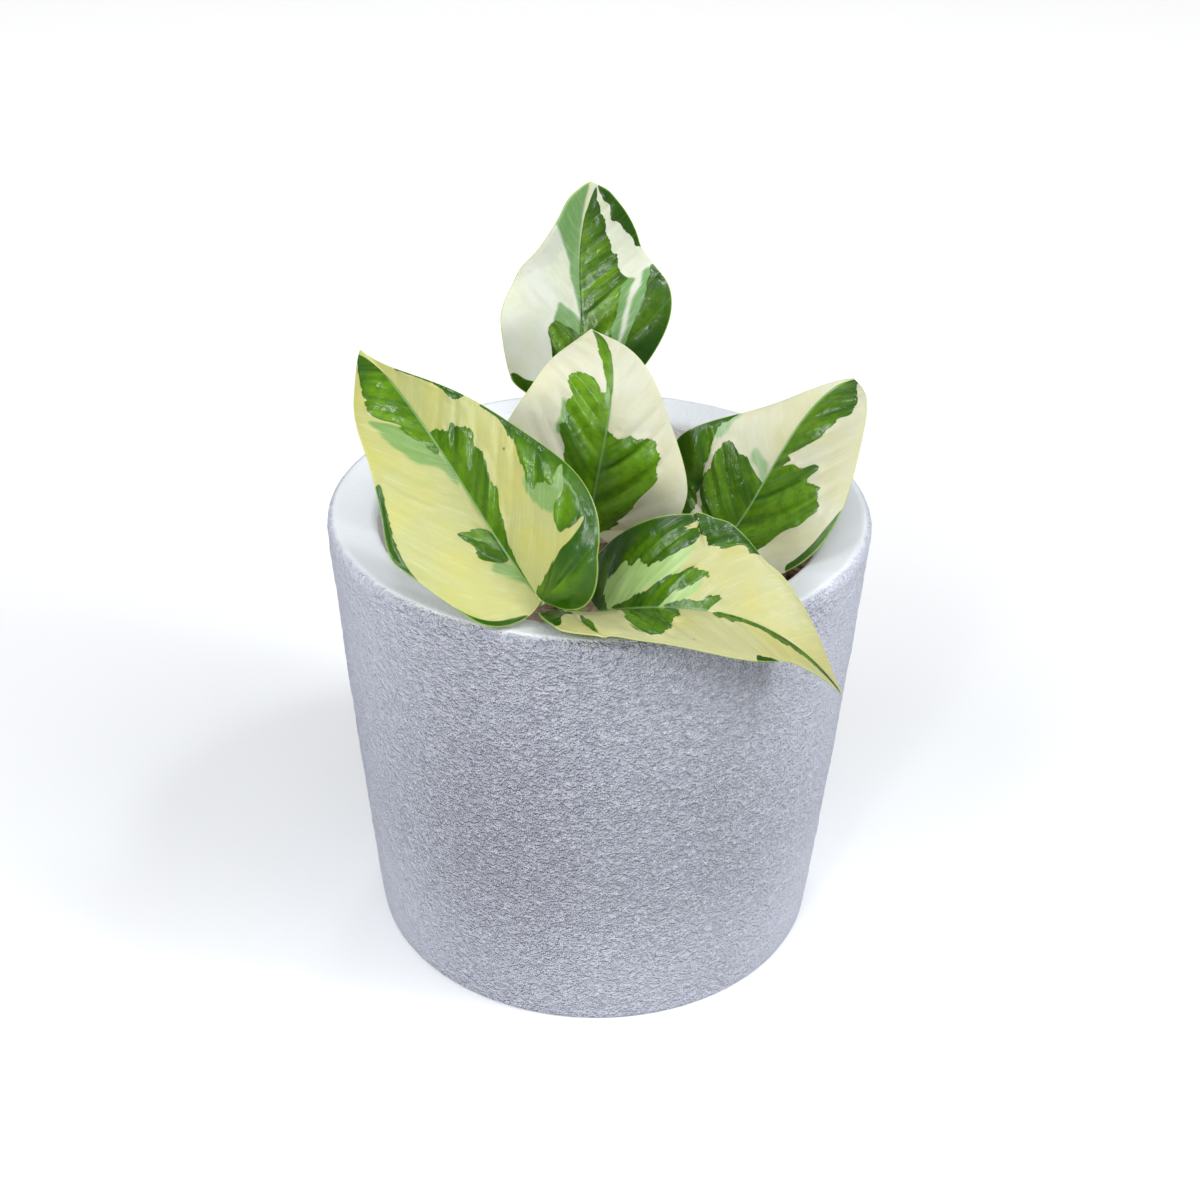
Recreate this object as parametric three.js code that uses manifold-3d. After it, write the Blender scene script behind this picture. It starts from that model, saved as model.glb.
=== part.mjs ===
// Potted glacier pothos: a small variegated pothos in a thick-walled round planter.
// Millimetres, +Z up. The origin is the centre of the planter's flat base, and its front is towards -Y.

import * as THREE from 'three';
import { mergeVertices } from 'three/addons/utils/BufferGeometryUtils.js';
import Module from 'manifold-3d';

const wasm = await Module();
wasm.setup();

// Planter
const potHeight = 114;
const potRimRadius = 65;
const potBaseRadius = 57;
const potBulge = 0.5; // how far the outer wall stands proud of a straight taper at mid height
const rimWidth = 10.7; // flat band from the outer wall to the mouth
const rimDip = 2.5; // the band falls this far towards the mouth
const rimOuterRound = 3;
const mouthRound = 2;
const baseRound = 1.5;
const floorThickness = 10;
const innerBaseRadius = 48;
const innerFloorRound = 6;
const roundSteps = 4;
const potSides = 64;
const wallRings = [0.15, 0.35, 0.55, 0.75, 0.9]; // as shares of the planter's height

// Potting mix
const fit = 0.3; // clearance between pieces that touch
const soilLevel = 98;
const soilMound = 1.5; // the middle lies this much higher than the edge
const clodHeight = 0.7;
const clodLengths = { x: 20, y: 23, slanted: 9 }; // of the waves that make the clods
const clodFade = 0.25; // the clods fade out over this share of the radius at the wall
const soilRings = 9;

// Vines: each stands upright in the soil and carries petioles
const vineFoot = 72;
const vineRadius = 2.2;
const nodeRadius = 2.7;
const vineHoleRadius = 3.1;
const vineSides = 12;
const nodeRings = 8;
const petioleRadius = 1.15;
const petioleGap = 0.4; // a petiole stops this far below its blade
const petioleSides = 8;
const petioleSteps = 12;

// Leaf blades
const bladeThickness = 0.7;
const ribDepth = 0.6; // how far the midrib stands out under the blade
const ribTaper = 0.8; // share of that depth that is gone at the tip
const bladeRows = 26;
const acrossSteps = [0.07, 0.28, 0.52, 0.77, 1]; // from the midrib to the edge

// Shape of every blade's outline from the stalk to its widest part: how far the curve's first handle
// reaches behind the stalk (times the lobe) and out (times the half width), and how far the second one
// lies along the midrib (a share of the way to the widest part, less a multiple of the lobe).
const lobeReach = 1.6;
const lobeSpread = 0.45;
const flankReach = 0.35;
const flankPull = 0.8;

// Each blade follows a midrib curve. Its facing says which way the upper side looks: azimuth 0 is -Y,
// elevation 90 is straight up. Each half has an outline (lobe behind the stalk, place and size of its
// widest part, fullness, tip), a fold up from the midrib at the base and at the tip, a curl in degrees
// per mm, and a ripple in its outline and a wave up and down, each as size, count and phase.
const leaves = {
  leaf_left: {
    midrib: [[-12, -53.5, 117], [-24, -47, 129.5], [-38.5, -30, 152], [-53, -13.5, 156.5]],
    facing: { azimuth: 6, elevation: 15, twist: -8 },
    left: {
      lobe: 2.5, widest: 0.34, half: 20.5, shoulder: 0.13, point: 0.09, tipWidth: 0.5,
      fold: [36, 21], curl: 0.3, ripple: [1, 2.9, -0.1], wave: [1, 2, 0],
    },
    right: {
      lobe: 9.5, widest: 0.24, half: 24, shoulder: 0.26, point: 0.25, tipWidth: 0,
      fold: [43, 17], curl: -1.2, ripple: [1.1, 2.2, 0.5], wave: [0.6, 2.4, 0.25],
    },
  },
  leaf_front: {
    midrib: [[0.5, -47, 110], [11.5, -59, 118.5], [34, -65.5, 128], [53, -56, 95.5]],
    facing: { azimuth: -4, elevation: 73, twist: -7 },
    left: {
      lobe: 9, widest: 0.39, half: 20, shoulder: 0.19, point: 0.17, tipWidth: 0.35,
      fold: [53, 11], curl: -0.1, ripple: [0.4, 2, 0.05], wave: [0.5, 2.5, 0.1],
    },
    right: {
      lobe: 12, widest: 0.31, half: 19, shoulder: 0.28, point: 0.24, tipWidth: 0.35,
      fold: [33, 12], curl: -0.2, ripple: [1.7, 2.6, 0.4], wave: [0.4, 2.3, 0.65],
    },
  },
  leaf_centre: {
    midrib: [[-2, -11, 111.5], [-2, -11.5, 130], [7.5, -12, 150], [-2.5, 6.5, 154]],
    facing: { azimuth: 11, elevation: 34, twist: -1 },
    left: {
      lobe: 5, widest: 0.35, half: 26, shoulder: 0.26, point: 0.11, tipWidth: 0.5,
      fold: [22, 23], curl: -0.1, ripple: [0.8, 2.2, 0.3], wave: [0.8, 2, 0.05],
    },
    right: {
      lobe: 4, widest: 0.27, half: 21, shoulder: 0.18, point: 0.21, tipWidth: 0.25,
      fold: [22, 22], curl: -0.3, ripple: [0.7, 2.1, 0.3], wave: [1, 2.4, 0.35],
    },
  },
  leaf_right: {
    midrib: [[29, -12.5, 109], [38.5, -8.5, 117.5], [43.5, -6.5, 143], [59, 7, 142.5]],
    facing: { azimuth: -18, elevation: 52, twist: 1 },
    left: {
      lobe: 5, widest: 0.31, half: 22, shoulder: 0.17, point: 0.37, tipWidth: 0.15,
      fold: [23, 19], curl: -0.3, ripple: [0.7, 2, 0.25], wave: [1, 2.2, 0.1],
    },
    right: {
      lobe: 5.5, widest: 0.39, half: 22, shoulder: 0.26, point: 0.05, tipWidth: 0.5,
      fold: [25, 20], curl: -0.6, ripple: [0.5, 2.1, 0.35], wave: [0.8, 2.3, 0.3],
    },
  },
  leaf_back: {
    midrib: [[-6.5, 20.5, 135], [-3, 25, 159.5], [-9, 30, 155], [-3.5, 33, 181]],
    facing: { azimuth: 21, elevation: 21, twist: -8 },
    left: {
      lobe: 7.5, widest: 0.27, half: 23, shoulder: 0.19, point: 0.03, tipWidth: 0.3,
      fold: [21, 22], curl: -0.1, ripple: [0.7, 2, 0.2], wave: [1, 2.5, 0.2],
    },
    right: {
      lobe: 3, widest: 0.33, half: 21, shoulder: 0.31, point: 0.03, tipWidth: 0.7,
      fold: [23, 17], curl: -0.3, ripple: [0.8, 2.1, 0.25], wave: [0.9, 2.2, 0.3],
    },
  },
};

// Each petiole leaves its vine at a height and in a direction, and reaches its blade from below. lean
// says how much it comes from behind the blade (1) and not from straight under it (0).
const vines = {
  stems_front: {
    foot: [-6, -30],
    top: 105,
    petioles: [
      { leaf: 'leaf_left', height: 102, leave: [-1, 1, 9], reach: 3, lean: 0.2 },
      { leaf: 'leaf_front', height: 99.5, leave: [1, -5, 1], reach: 5, lean: 0 },
    ],
  },
  stems_rear: {
    foot: [8, 0],
    top: 114,
    petioles: [
      { leaf: 'leaf_right', height: 100.5, leave: [6, 0, 3], reach: 7, lean: 0.3 },
      { leaf: 'leaf_centre', height: 103, leave: [-3, 0, 4], reach: 6, lean: 0.7 },
      { leaf: 'leaf_back', height: 112, leave: [0, 4, 6], reach: 10, lean: 0.9 },
    ],
  },
};

const looks = {
  pot: { color: 0xc9c9d2, roughness: 0.75, metalness: 0 },
  soil: { color: 0x7c6552, roughness: 0.95, metalness: 0 },
  stem: { color: 0x8fae4e, roughness: 0.5, metalness: 0 },
  leaf: { color: 0xb9c982, roughness: 0.35, metalness: 0 },
};

const turn = 2 * Math.PI;
const radians = (degrees) => (degrees * Math.PI) / 180;
const mix = (a, b, t) => a + (b - a) * t;

// Booleans

function toSolid(geometry) {
  const bare = geometry.clone();
  bare.deleteAttribute('normal');
  bare.deleteAttribute('uv');
  const merged = mergeVertices(bare, 1e-4);
  return new wasm.Manifold(new wasm.Mesh({
    numProp: 3,
    vertProperties: new Float32Array(merged.attributes.position.array),
    triVerts: new Uint32Array(merged.index.array),
  }));
}

function toGeometry(solid) {
  const mesh = solid.getMesh();
  const geometry = new THREE.BufferGeometry();
  geometry.setAttribute('position', new THREE.BufferAttribute(mesh.vertProperties, 3));
  geometry.setIndex(new THREE.BufferAttribute(mesh.triVerts, 1));
  return geometry;
}

// Planter

const outerRadius = (z) => {
  const t = z / potHeight;
  return mix(potBaseRadius, potRimRadius, t) + 4 * potBulge * t * (1 - t);
};

const mouthRadius = potRimRadius - rimWidth;
const mouthHeight = potHeight - rimDip;
const innerRadius = (z) => mix(innerBaseRadius, mouthRadius, (z - floorThickness) / (mouthHeight - floorThickness));

// A quarter round from one angle to another, as points of a lathe profile.
function quarterRound(centreX, centreY, radius, from, to) {
  return Array.from({ length: roundSteps + 1 }, (_, i) => {
    const angle = mix(radians(from), radians(to), i / roundSteps);
    return new THREE.Vector2(centreX + radius * Math.cos(angle), centreY + radius * Math.sin(angle));
  });
}

// A lathe turns about Y, so the result is stood up to turn about Z.
const turned = (profile) => new THREE.LatheGeometry(profile, potSides).rotateX(Math.PI / 2);

function planterGeometry() {
  const wall = wallRings.map((t) => {
    const z = t * potHeight;
    return new THREE.Vector2(outerRadius(z), z);
  });
  return turned([
    new THREE.Vector2(0, 0),
    ...quarterRound(potBaseRadius - baseRound, baseRound, baseRound, -90, 0),
    ...wall,
    ...quarterRound(potRimRadius - rimOuterRound, potHeight - rimOuterRound, rimOuterRound, 0, 90),
    ...quarterRound(mouthRadius + mouthRound, mouthHeight - mouthRound, mouthRound, 90, 180),
    ...quarterRound(innerBaseRadius - innerFloorRound, floorThickness + innerFloorRound, innerFloorRound, 0, -90),
    new THREE.Vector2(0, floorThickness),
  ]);
}

// Potting mix: fills the planter, with a low mound and clods on top

function clods(x, y) {
  const crossed = Math.sin((turn * x) / clodLengths.x) * Math.cos((turn * y) / clodLengths.y);
  const slanted = Math.sin((turn * (x / 2 + y)) / clodLengths.slanted);
  return clodHeight * (crossed + slanted / 2);
}

function soilGeometry() {
  const edge = innerRadius(soilLevel) - fit;
  const rings = Array.from({ length: soilRings }, (_, i) => 1 - i / soilRings);
  const bottom = floorThickness + fit;
  const geometry = turned([
    new THREE.Vector2(0, bottom),
    ...quarterRound(innerBaseRadius - fit - innerFloorRound, bottom + innerFloorRound, innerFloorRound, -90, 0),
    ...rings.map((t) => new THREE.Vector2(edge * t, soilLevel)),
    new THREE.Vector2(0, soilLevel),
  ]);
  const places = geometry.attributes.position;
  for (let i = 0; i < places.count; i++) {
    const [x, y, z] = [places.getX(i), places.getY(i), places.getZ(i)];
    const inside = 1 - Math.hypot(x, y) / edge;
    const onTop = z > soilLevel - fit;
    if (onTop) {
      places.setZ(i, z + soilMound * inside + clods(x, y) * Math.min(1, inside / clodFade));
    }
  }
  return geometry;
}

// Leaf blades

const vector = (list) => new THREE.Vector3(...list);
const midribOf = (leaf) => new THREE.CubicBezierCurve3(...leaf.midrib.map(vector));

function facingOf(leaf) {
  const azimuth = radians(leaf.facing.azimuth);
  const elevation = radians(leaf.facing.elevation);
  return new THREE.Vector3(
    Math.cos(elevation) * Math.sin(azimuth),
    -Math.cos(elevation) * Math.cos(azimuth),
    Math.sin(elevation),
  );
}

// Along the midrib, across to the right half and up out of the upper side.
function axesAt(leaf, curve, t) {
  const along = curve.getTangent(t);
  const across = along.clone().cross(facingOf(leaf)).normalize();
  const twist = radians(leaf.facing.twist) * (t - 0.5);
  across.applyAxisAngle(along, -twist);
  return { along, across, up: across.clone().cross(along) };
}

// The edge of one half, flat: x along the midrib and y out from it.
function outlineOf(half, length) {
  const widest = half.widest * length;
  const edge = new THREE.CurvePath();
  edge.add(new THREE.CubicBezierCurve(
    new THREE.Vector2(0, 0),
    new THREE.Vector2(-lobeReach * half.lobe, lobeSpread * half.half),
    new THREE.Vector2(flankReach * widest - flankPull * half.lobe, half.half),
    new THREE.Vector2(widest, half.half),
  ));
  edge.add(new THREE.CubicBezierCurve(
    new THREE.Vector2(widest, half.half),
    new THREE.Vector2(widest + half.shoulder * length, half.half),
    new THREE.Vector2(length * (1 - half.point), half.tipWidth * half.half),
    new THREE.Vector2(length, 0),
  ));
  return edge;
}

const swing = ([size, count, phase], s) => size * Math.sin(turn * (count * s + phase));

// A point of the blade's middle surface: s from the stalk to the tip, and t from the midrib to the edge.
function bladePoint(leaf, curve, length, outline, side, s, t) {
  const half = side < 0 ? leaf.left : leaf.right;
  const edge = outline.getPointAt(s);
  const x = mix(s * length, edge.x, t);
  const y = t * (edge.y + (edge.y / half.half) * swing(half.ripple, s));
  const at = Math.min(1, Math.max(0, x / length));
  const { along, across, up } = axesAt(leaf, curve, at);
  const start = radians(mix(half.fold[0], half.fold[1], at));
  const bend = radians(half.curl);
  const out = (Math.sin(start + bend * y) - Math.sin(start)) / bend;
  const rise = (Math.cos(start) - Math.cos(start + bend * y)) / bend;
  const wave = swing(half.wave, s) * t * t * Math.sqrt(Math.sin(Math.PI * s));
  return curve.getPoint(at)
    .addScaledVector(along, Math.min(0, x))
    .addScaledVector(across, side * out)
    .addScaledVector(up, rise + wave);
}

// The middle surface as rows of points, its normals, and both faces set off from it. The two faces are
// split into triangles alike.
function bladeGeometry(leaf, extra = 0) {
  const curve = midribOf(leaf);
  const length = curve.getLength();
  const outlines = { '-1': outlineOf(leaf.left, length), 1: outlineOf(leaf.right, length) };
  const columns = [...acrossSteps.map((t) => -t).reverse(), 0, ...acrossSteps];
  const width = columns.length;
  const points = [curve.getPoint(0)];
  const ribs = [ribDepth];
  for (let row = 1; row < bladeRows; row++) {
    const s = row / bladeRows;
    for (const column of columns) {
      const side = column < 0 ? -1 : 1;
      points.push(bladePoint(leaf, curve, length, outlines[side], side, s, Math.abs(column)));
      ribs.push(column === 0 ? ribDepth * (1 - ribTaper * s) : 0);
    }
  }
  points.push(curve.getPoint(1));
  ribs.push(0);
  const tip = points.length - 1;
  const id = (row, column) => 1 + (row - 1) * width + column;

  const faces = [];
  for (let c = 0; c + 1 < width; c++) {
    faces.push([0, id(1, c + 1), id(1, c)]);
    for (let row = 1; row + 1 < bladeRows; row++) {
      const [a, b] = [id(row, c), id(row, c + 1)];
      const [d, e] = [id(row + 1, c), id(row + 1, c + 1)];
      faces.push([a, b, e], [a, e, d]);
    }
    faces.push([tip, id(bladeRows - 1, c), id(bladeRows - 1, c + 1)]);
  }

  const middle = new THREE.BufferGeometry();
  middle.setAttribute('position', new THREE.Float32BufferAttribute(points.flatMap((p) => p.toArray()), 3));
  middle.setIndex(faces.flat());
  middle.computeVertexNormals();
  const normals = points.map((_, i) => new THREE.Vector3().fromBufferAttribute(middle.attributes.normal, i));

  const half = bladeThickness / 2 + extra;
  const upper = points.map((p, i) => p.clone().addScaledVector(normals[i], half));
  const lower = points.map((p, i) => p.clone().addScaledVector(normals[i], -half - ribs[i]));
  const under = points.length;
  const rows = Array.from({ length: bladeRows - 1 }, (_, i) => i + 1);
  const rim = [0, ...rows.map((row) => id(row, width - 1)), tip, ...rows.reverse().map((row) => id(row, 0))];
  const walls = rim.flatMap((a, i) => {
    const b = rim[(i + 1) % rim.length];
    return [[a, under + a, under + b], [a, under + b, b]];
  });

  const geometry = new THREE.BufferGeometry();
  const all = [...upper, ...lower].flatMap((p) => p.toArray());
  geometry.setAttribute('position', new THREE.Float32BufferAttribute(all, 3));
  geometry.setIndex([
    ...faces.flat(),
    ...faces.flatMap(([a, b, c]) => [under + a, under + c, under + b]),
    ...walls.flat(),
  ]);
  return geometry;
}

// Vines with their petioles

function ringShape(radius, sides) {
  return new THREE.Shape(Array.from({ length: sides }, (_, i) => {
    const angle = (turn * i) / sides;
    return new THREE.Vector2(radius * Math.cos(angle), radius * Math.sin(angle));
  }));
}

function petioleCurve(vine, petiole) {
  const leaf = leaves[petiole.leaf];
  const curve = midribOf(leaf);
  const { along, up } = axesAt(leaf, curve, 0);
  const start = new THREE.Vector3(...vine.foot, petiole.height);
  const towards = up.multiplyScalar(1 - petiole.lean / 2).addScaledVector(along, petiole.lean).normalize();
  const end = curve.getPoint(0).addScaledVector(towards, -(bladeThickness / 2 + ribDepth + petioleGap));
  return new THREE.CubicBezierCurve3(
    start,
    start.clone().add(vector(petiole.leave)),
    end.clone().addScaledVector(towards, -petiole.reach),
    end,
  );
}

function petioleSolid(vine, petiole) {
  const tube = new THREE.ExtrudeGeometry(ringShape(petioleRadius, petioleSides), {
    steps: petioleSteps,
    extrudePath: petioleCurve(vine, petiole),
  });
  const clearance = bladeGeometry(leaves[petiole.leaf], fit);
  return toSolid(tube).subtract(toSolid(clearance));
}

function vineTube(foot, from, to, radius) {
  return new THREE.CylinderGeometry(radius, radius, to - from, vineSides)
    .rotateX(Math.PI / 2)
    .translate(...foot, (from + to) / 2);
}

function vineGeometry(vine) {
  let solid = toSolid(vineTube(vine.foot, vineFoot, vine.top, vineRadius));
  const knots = [...vine.petioles.map((petiole) => petiole.height), vine.top];
  for (const height of knots) {
    const knot = new THREE.SphereGeometry(nodeRadius, vineSides, nodeRings).translate(...vine.foot, height);
    solid = solid.add(toSolid(knot));
  }
  for (const petiole of vine.petioles) {
    solid = solid.add(petioleSolid(vine, petiole));
  }
  return toGeometry(solid);
}

function soilWithHoles() {
  const holes = Object.values(vines).map(({ foot }) => vineTube(foot, vineFoot - fit, potHeight, vineHoleRadius));
  return toGeometry(holes.reduce((soil, hole) => soil.subtract(toSolid(hole)), toSolid(soilGeometry())));
}

// Assembly

const group = new THREE.Group();

function addPiece(name, geometry, look) {
  geometry.computeVertexNormals();
  const mesh = new THREE.Mesh(geometry, new THREE.MeshStandardMaterial(looks[look]));
  mesh.name = name;
  group.add(mesh);
}

addPiece('pot', toGeometry(toSolid(planterGeometry())), 'pot');
addPiece('potting_mix', soilWithHoles(), 'soil');
for (const [name, vine] of Object.entries(vines)) {
  addPiece(name, vineGeometry(vine), 'stem');
}
for (const [name, leaf] of Object.entries(leaves)) {
  addPiece(name, bladeGeometry(leaf), 'leaf');
}

export default group;
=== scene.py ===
# Potted glacier pothos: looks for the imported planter, potting mix, vines and leaves.
# Metres, +Z up, front towards -Y. Sizes in the dictionaries are millimetres, as in the part's source,
# apart from the light's, which are metres.

import math
import random

import bpy
import numpy as np
from mathutils import Matrix, Vector


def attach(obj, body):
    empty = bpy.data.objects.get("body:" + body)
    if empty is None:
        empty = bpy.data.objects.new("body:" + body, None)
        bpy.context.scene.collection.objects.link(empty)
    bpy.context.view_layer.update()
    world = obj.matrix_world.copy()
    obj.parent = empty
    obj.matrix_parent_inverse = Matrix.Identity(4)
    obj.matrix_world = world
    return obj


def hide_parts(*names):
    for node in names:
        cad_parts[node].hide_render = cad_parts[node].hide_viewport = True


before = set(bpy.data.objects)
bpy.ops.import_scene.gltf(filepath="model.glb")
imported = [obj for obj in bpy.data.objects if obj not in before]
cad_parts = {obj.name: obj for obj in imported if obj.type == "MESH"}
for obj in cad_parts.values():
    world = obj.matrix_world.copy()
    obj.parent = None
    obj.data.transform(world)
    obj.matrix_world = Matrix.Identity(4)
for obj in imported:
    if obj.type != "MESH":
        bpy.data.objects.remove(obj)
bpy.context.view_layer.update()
mm = 0.001


def colour(red, green, blue):  # 0 to 255 as seen on screen, to the linear values that shaders use
    channels = [c / 255 for c in (red, green, blue)]
    return tuple(c / 12.92 if c <= 0.04045 else ((c + 0.055) / 1.055) ** 2.4 for c in channels) + (1.0,)


# Camera, light and floor

photoView = {
    "aim": (0.4, 0.0, 85.5),
    "distance": 422,
    "elevation": 30.7,
    "roll": 0.9,
    "lens": 51.0,  # on a 36 mm sensor
}


def addCamera(view):
    elevation, roll = math.radians(view["elevation"]), math.radians(view["roll"])
    forward = Vector((0, math.cos(elevation), -math.sin(elevation)))
    right = Vector((1, 0, 0))
    up = right.cross(forward)
    tiltedRight = right * math.cos(roll) + up * math.sin(roll)
    tiltedUp = up * math.cos(roll) - right * math.sin(roll)
    place = (Vector(view["aim"]) - forward * view["distance"]) * mm
    bpy.ops.object.camera_add()
    camera = bpy.context.object
    turn = Matrix((tiltedRight, tiltedUp, -forward)).transposed()
    camera.matrix_world = Matrix.Translation(place) @ turn.to_4x4()
    camera.data.sensor_width = 36
    camera.data.lens = view["lens"]
    camera.data.clip_start = 0.01
    bpy.context.scene.camera = camera


light = {
    "skyStrength": 0.27,
    "skyColour": (0.98, 0.98, 1.0, 1.0),
    # sideways, towards the back, strength
    "suns": [(0.95, -0.45, 0.6), (-0.95, -0.5, 0.42), (0.1, -0.38, 0.3)],
    "sunAngle": 30,
    "softboxColour": (0.92, 0.96, 1.0),
    "softboxAim": (0, 0, 0.12),
    "softboxDistance": 0.9,
    "softboxes": [  # direction, size, radiance
        ((0.45, -0.12, 0.88), 0.12, 32),
        ((-0.5, -0.6, 0.62), 0.3, 9),
        ((-0.3, -0.94, 0.12), 0.24, 8),
        ((0.94, -0.3, 0.16), 0.26, 12),
        ((0.84, -0.26, 0.49), 0.11, 38),
        ((-0.35, -0.85, 0.38), 0.12, 40),
        ((0.0, -0.73, 0.68), 0.1, 48),
        ((0.0, 0.6, 0.8), 0.13, 17),
    ],
    "floorSize": 8,
    "floorColour": (0.97, 0.97, 0.97, 1.0),
    "floorBounce": (0.42, 0.42, 0.42, 1.0),
    "floorLift": 0.34,  # a glow that grows from the planter's axis to this far behind it
    "floorLiftTo": 0.8,
}


def turnedTo(direction):  # a lamp that shines back from this direction
    return direction.to_track_quat("Z", "Y").to_euler()


def addLight():
    scene = bpy.context.scene
    scene.view_settings.view_transform = "Standard"
    world = bpy.data.worlds.new("pale studio")
    world.use_nodes = True
    background = world.node_tree.nodes["Background"]
    background.inputs["Color"].default_value = light["skyColour"]
    background.inputs["Strength"].default_value = light["skyStrength"]
    scene.world = world
    for sideways, back, strength in light["suns"]:
        place = Vector((sideways, back, 1))
        bpy.ops.object.light_add(type="SUN", location=place, rotation=turnedTo(place))
        sun = bpy.context.object.data
        sun.energy = strength
        sun.angle = math.radians(light["sunAngle"])
    for direction, size, radiance in light["softboxes"]:
        offset = Vector(direction).normalized() * light["softboxDistance"]
        place = Vector(light["softboxAim"]) + offset
        bpy.ops.object.light_add(type="AREA", location=place, rotation=turnedTo(offset))
        softbox = bpy.context.object.data
        softbox.shape = "DISK"
        softbox.size = size
        softbox.energy = radiance * math.pi * math.pi * (size / 2) ** 2
        softbox.color = light["softboxColour"]


# Small helpers


def deselectAll():
    if bpy.context.mode != "OBJECT":
        bpy.ops.object.mode_set(mode="OBJECT")
    bpy.ops.object.select_all(action="DESELECT")


def makeActive(piece):
    deselectAll()
    piece.select_set(True)
    bpy.context.view_layer.objects.active = piece


def applyModifier(piece, kind, **settings):
    makeActive(piece)
    modifier = piece.modifiers.new(kind.lower(), kind)
    for name, value in settings.items():
        setattr(modifier, name, value)
    bpy.ops.object.modifier_apply(modifier=modifier.name)


def coordinates(piece):
    values = np.empty(len(piece.data.vertices) * 3)
    piece.data.vertices.foreach_get("co", values)
    return values.reshape(-1, 3)


def moveVertices(piece, values):
    piece.data.vertices.foreach_set("co", np.asarray(values, float).ravel())
    piece.data.update()


def addAttribute(piece, name, values):
    attribute = piece.data.attributes.new(name, "FLOAT", "POINT")
    attribute.data.foreach_set("value", np.asarray(values, np.float32))


def setPlace(piece, name):
    piece.name = name
    piece.data.name = name
    makeActive(piece)
    bpy.ops.object.transform_apply(location=True, rotation=True, scale=True)


def gridPiece(name, across, along):
    deselectAll()
    bpy.ops.mesh.primitive_grid_add(x_subdivisions=across, y_subdivisions=along, size=2)
    piece = bpy.context.object
    setPlace(piece, name)
    return piece, coordinates(piece)


def addGroup(piece, name, weights):
    group = piece.vertex_groups.new(name=name)
    for vertex, weight in enumerate(weights):
        group.add([vertex], float(weight), "REPLACE")


def roughen(piece, group, name, size, height, detail=2, basis="BLENDER_ORIGINAL"):  # size and height in mm
    clouds = bpy.data.textures.new(name, "CLOUDS")
    clouds.noise_scale = size * mm
    clouds.noise_depth = detail
    clouds.noise_basis = basis
    applyModifier(piece, "DISPLACE", texture=clouds, texture_coords="LOCAL", mid_level=0.5,
                  strength=height * mm, vertex_group=group)


def editWhole(piece, change, **settings):
    makeActive(piece)
    bpy.ops.object.mode_set(mode="EDIT")
    bpy.ops.mesh.select_all(action="SELECT")
    change(**settings)
    bpy.ops.object.mode_set(mode="OBJECT")


def shadeSmooth(piece, degrees):
    makeActive(piece)
    bpy.ops.object.shade_smooth_by_angle(angle=math.radians(degrees))


def smoothStep(value, low, high):
    share = np.clip((value - low) / (high - low), 0, 1)
    return share * share * (3 - 2 * share)


# Material helpers


def newMaterial(name):
    material = bpy.data.materials.new(name)
    material.use_nodes = True
    return material, material.node_tree, material.node_tree.nodes["Principled BSDF"]


def feed(tree, node, name, value):
    if isinstance(value, bpy.types.NodeSocket):
        tree.links.new(value, node.inputs[name])
    else:
        node.inputs[name].default_value = value


def feedAll(tree, node, inputs):
    for name, value in inputs.items():
        feed(tree, node, name, value)


def put(tree, kind, inputs=None, **settings):
    node = tree.nodes.new(kind)
    for name, value in settings.items():
        setattr(node, name, value)
    feedAll(tree, node, inputs or {})
    return node


def maths(tree, operation, first, second=0.0, third=0.0, clamp=False):
    node = put(tree, "ShaderNodeMath", {0: first, 1: second, 2: third}, operation=operation, use_clamp=clamp)
    return node.outputs[0]


def times(tree, first, second):
    return maths(tree, "MULTIPLY", first, second)


def timesPlus(tree, first, second, third, clamp=False):
    return maths(tree, "MULTIPLY_ADD", first, second, third, clamp)


def fade(tree, value, low, high, start=0.0, end=1.0):
    inputs = {"Value": value, "From Min": low, "From Max": high, "To Min": start, "To Max": end}
    return put(tree, "ShaderNodeMapRange", inputs, interpolation_type="SMOOTHSTEP").outputs[0]


def mixColours(tree, share, first, second):
    node = put(tree, "ShaderNodeMix", {0: share, 6: first, 7: second}, data_type="RGBA")
    return node.outputs[2]


def noise(tree, vector, scale, detail=2.0, roughness=0.5, distortion=0.0):
    inputs = {"Vector": vector, "Scale": scale, "Detail": detail, "Roughness": roughness,
              "Distortion": distortion}
    return put(tree, "ShaderNodeTexNoise", inputs).outputs["Fac"]


def stretched(tree, vector, scale):
    return put(tree, "ShaderNodeMapping", {"Vector": vector, "Scale": scale}).outputs[0]


def readAttribute(tree, name):
    return put(tree, "ShaderNodeAttribute", attribute_name=name).outputs["Fac"]


def objectPlace(tree):
    return put(tree, "ShaderNodeTexCoord").outputs["Object"]


def split(tree, vector):
    return put(tree, "ShaderNodeSeparateXYZ", {0: vector}).outputs


def layer(tree, under, over, value, low, high, start=0.0, end=1.0):  # one colour over another, by a value
    return mixColours(tree, fade(tree, value, low, high, start, end), under, over)


def specks(tree, where, scale, inner, outer, rareTo):  # a few round specks: 1 on them and 0 elsewhere
    cells = put(tree, "ShaderNodeTexVoronoi", {"Vector": where, "Scale": scale, "Randomness": 1.0})
    chance = put(tree, "ShaderNodeSeparateColor", {0: cells.outputs["Color"]}).outputs[0]
    return times(tree, fade(tree, cells.outputs["Distance"], inner, outer, 1, 0),
                 fade(tree, chance, 0.9, rareTo))


def addBump(tree, shader, height, distance, strength=1.0):  # distance in mm
    bump = put(tree, "ShaderNodeBump", {"Strength": strength, "Distance": distance * mm, "Height": height})
    feed(tree, shader, "Normal", bump.outputs[0])


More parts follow.
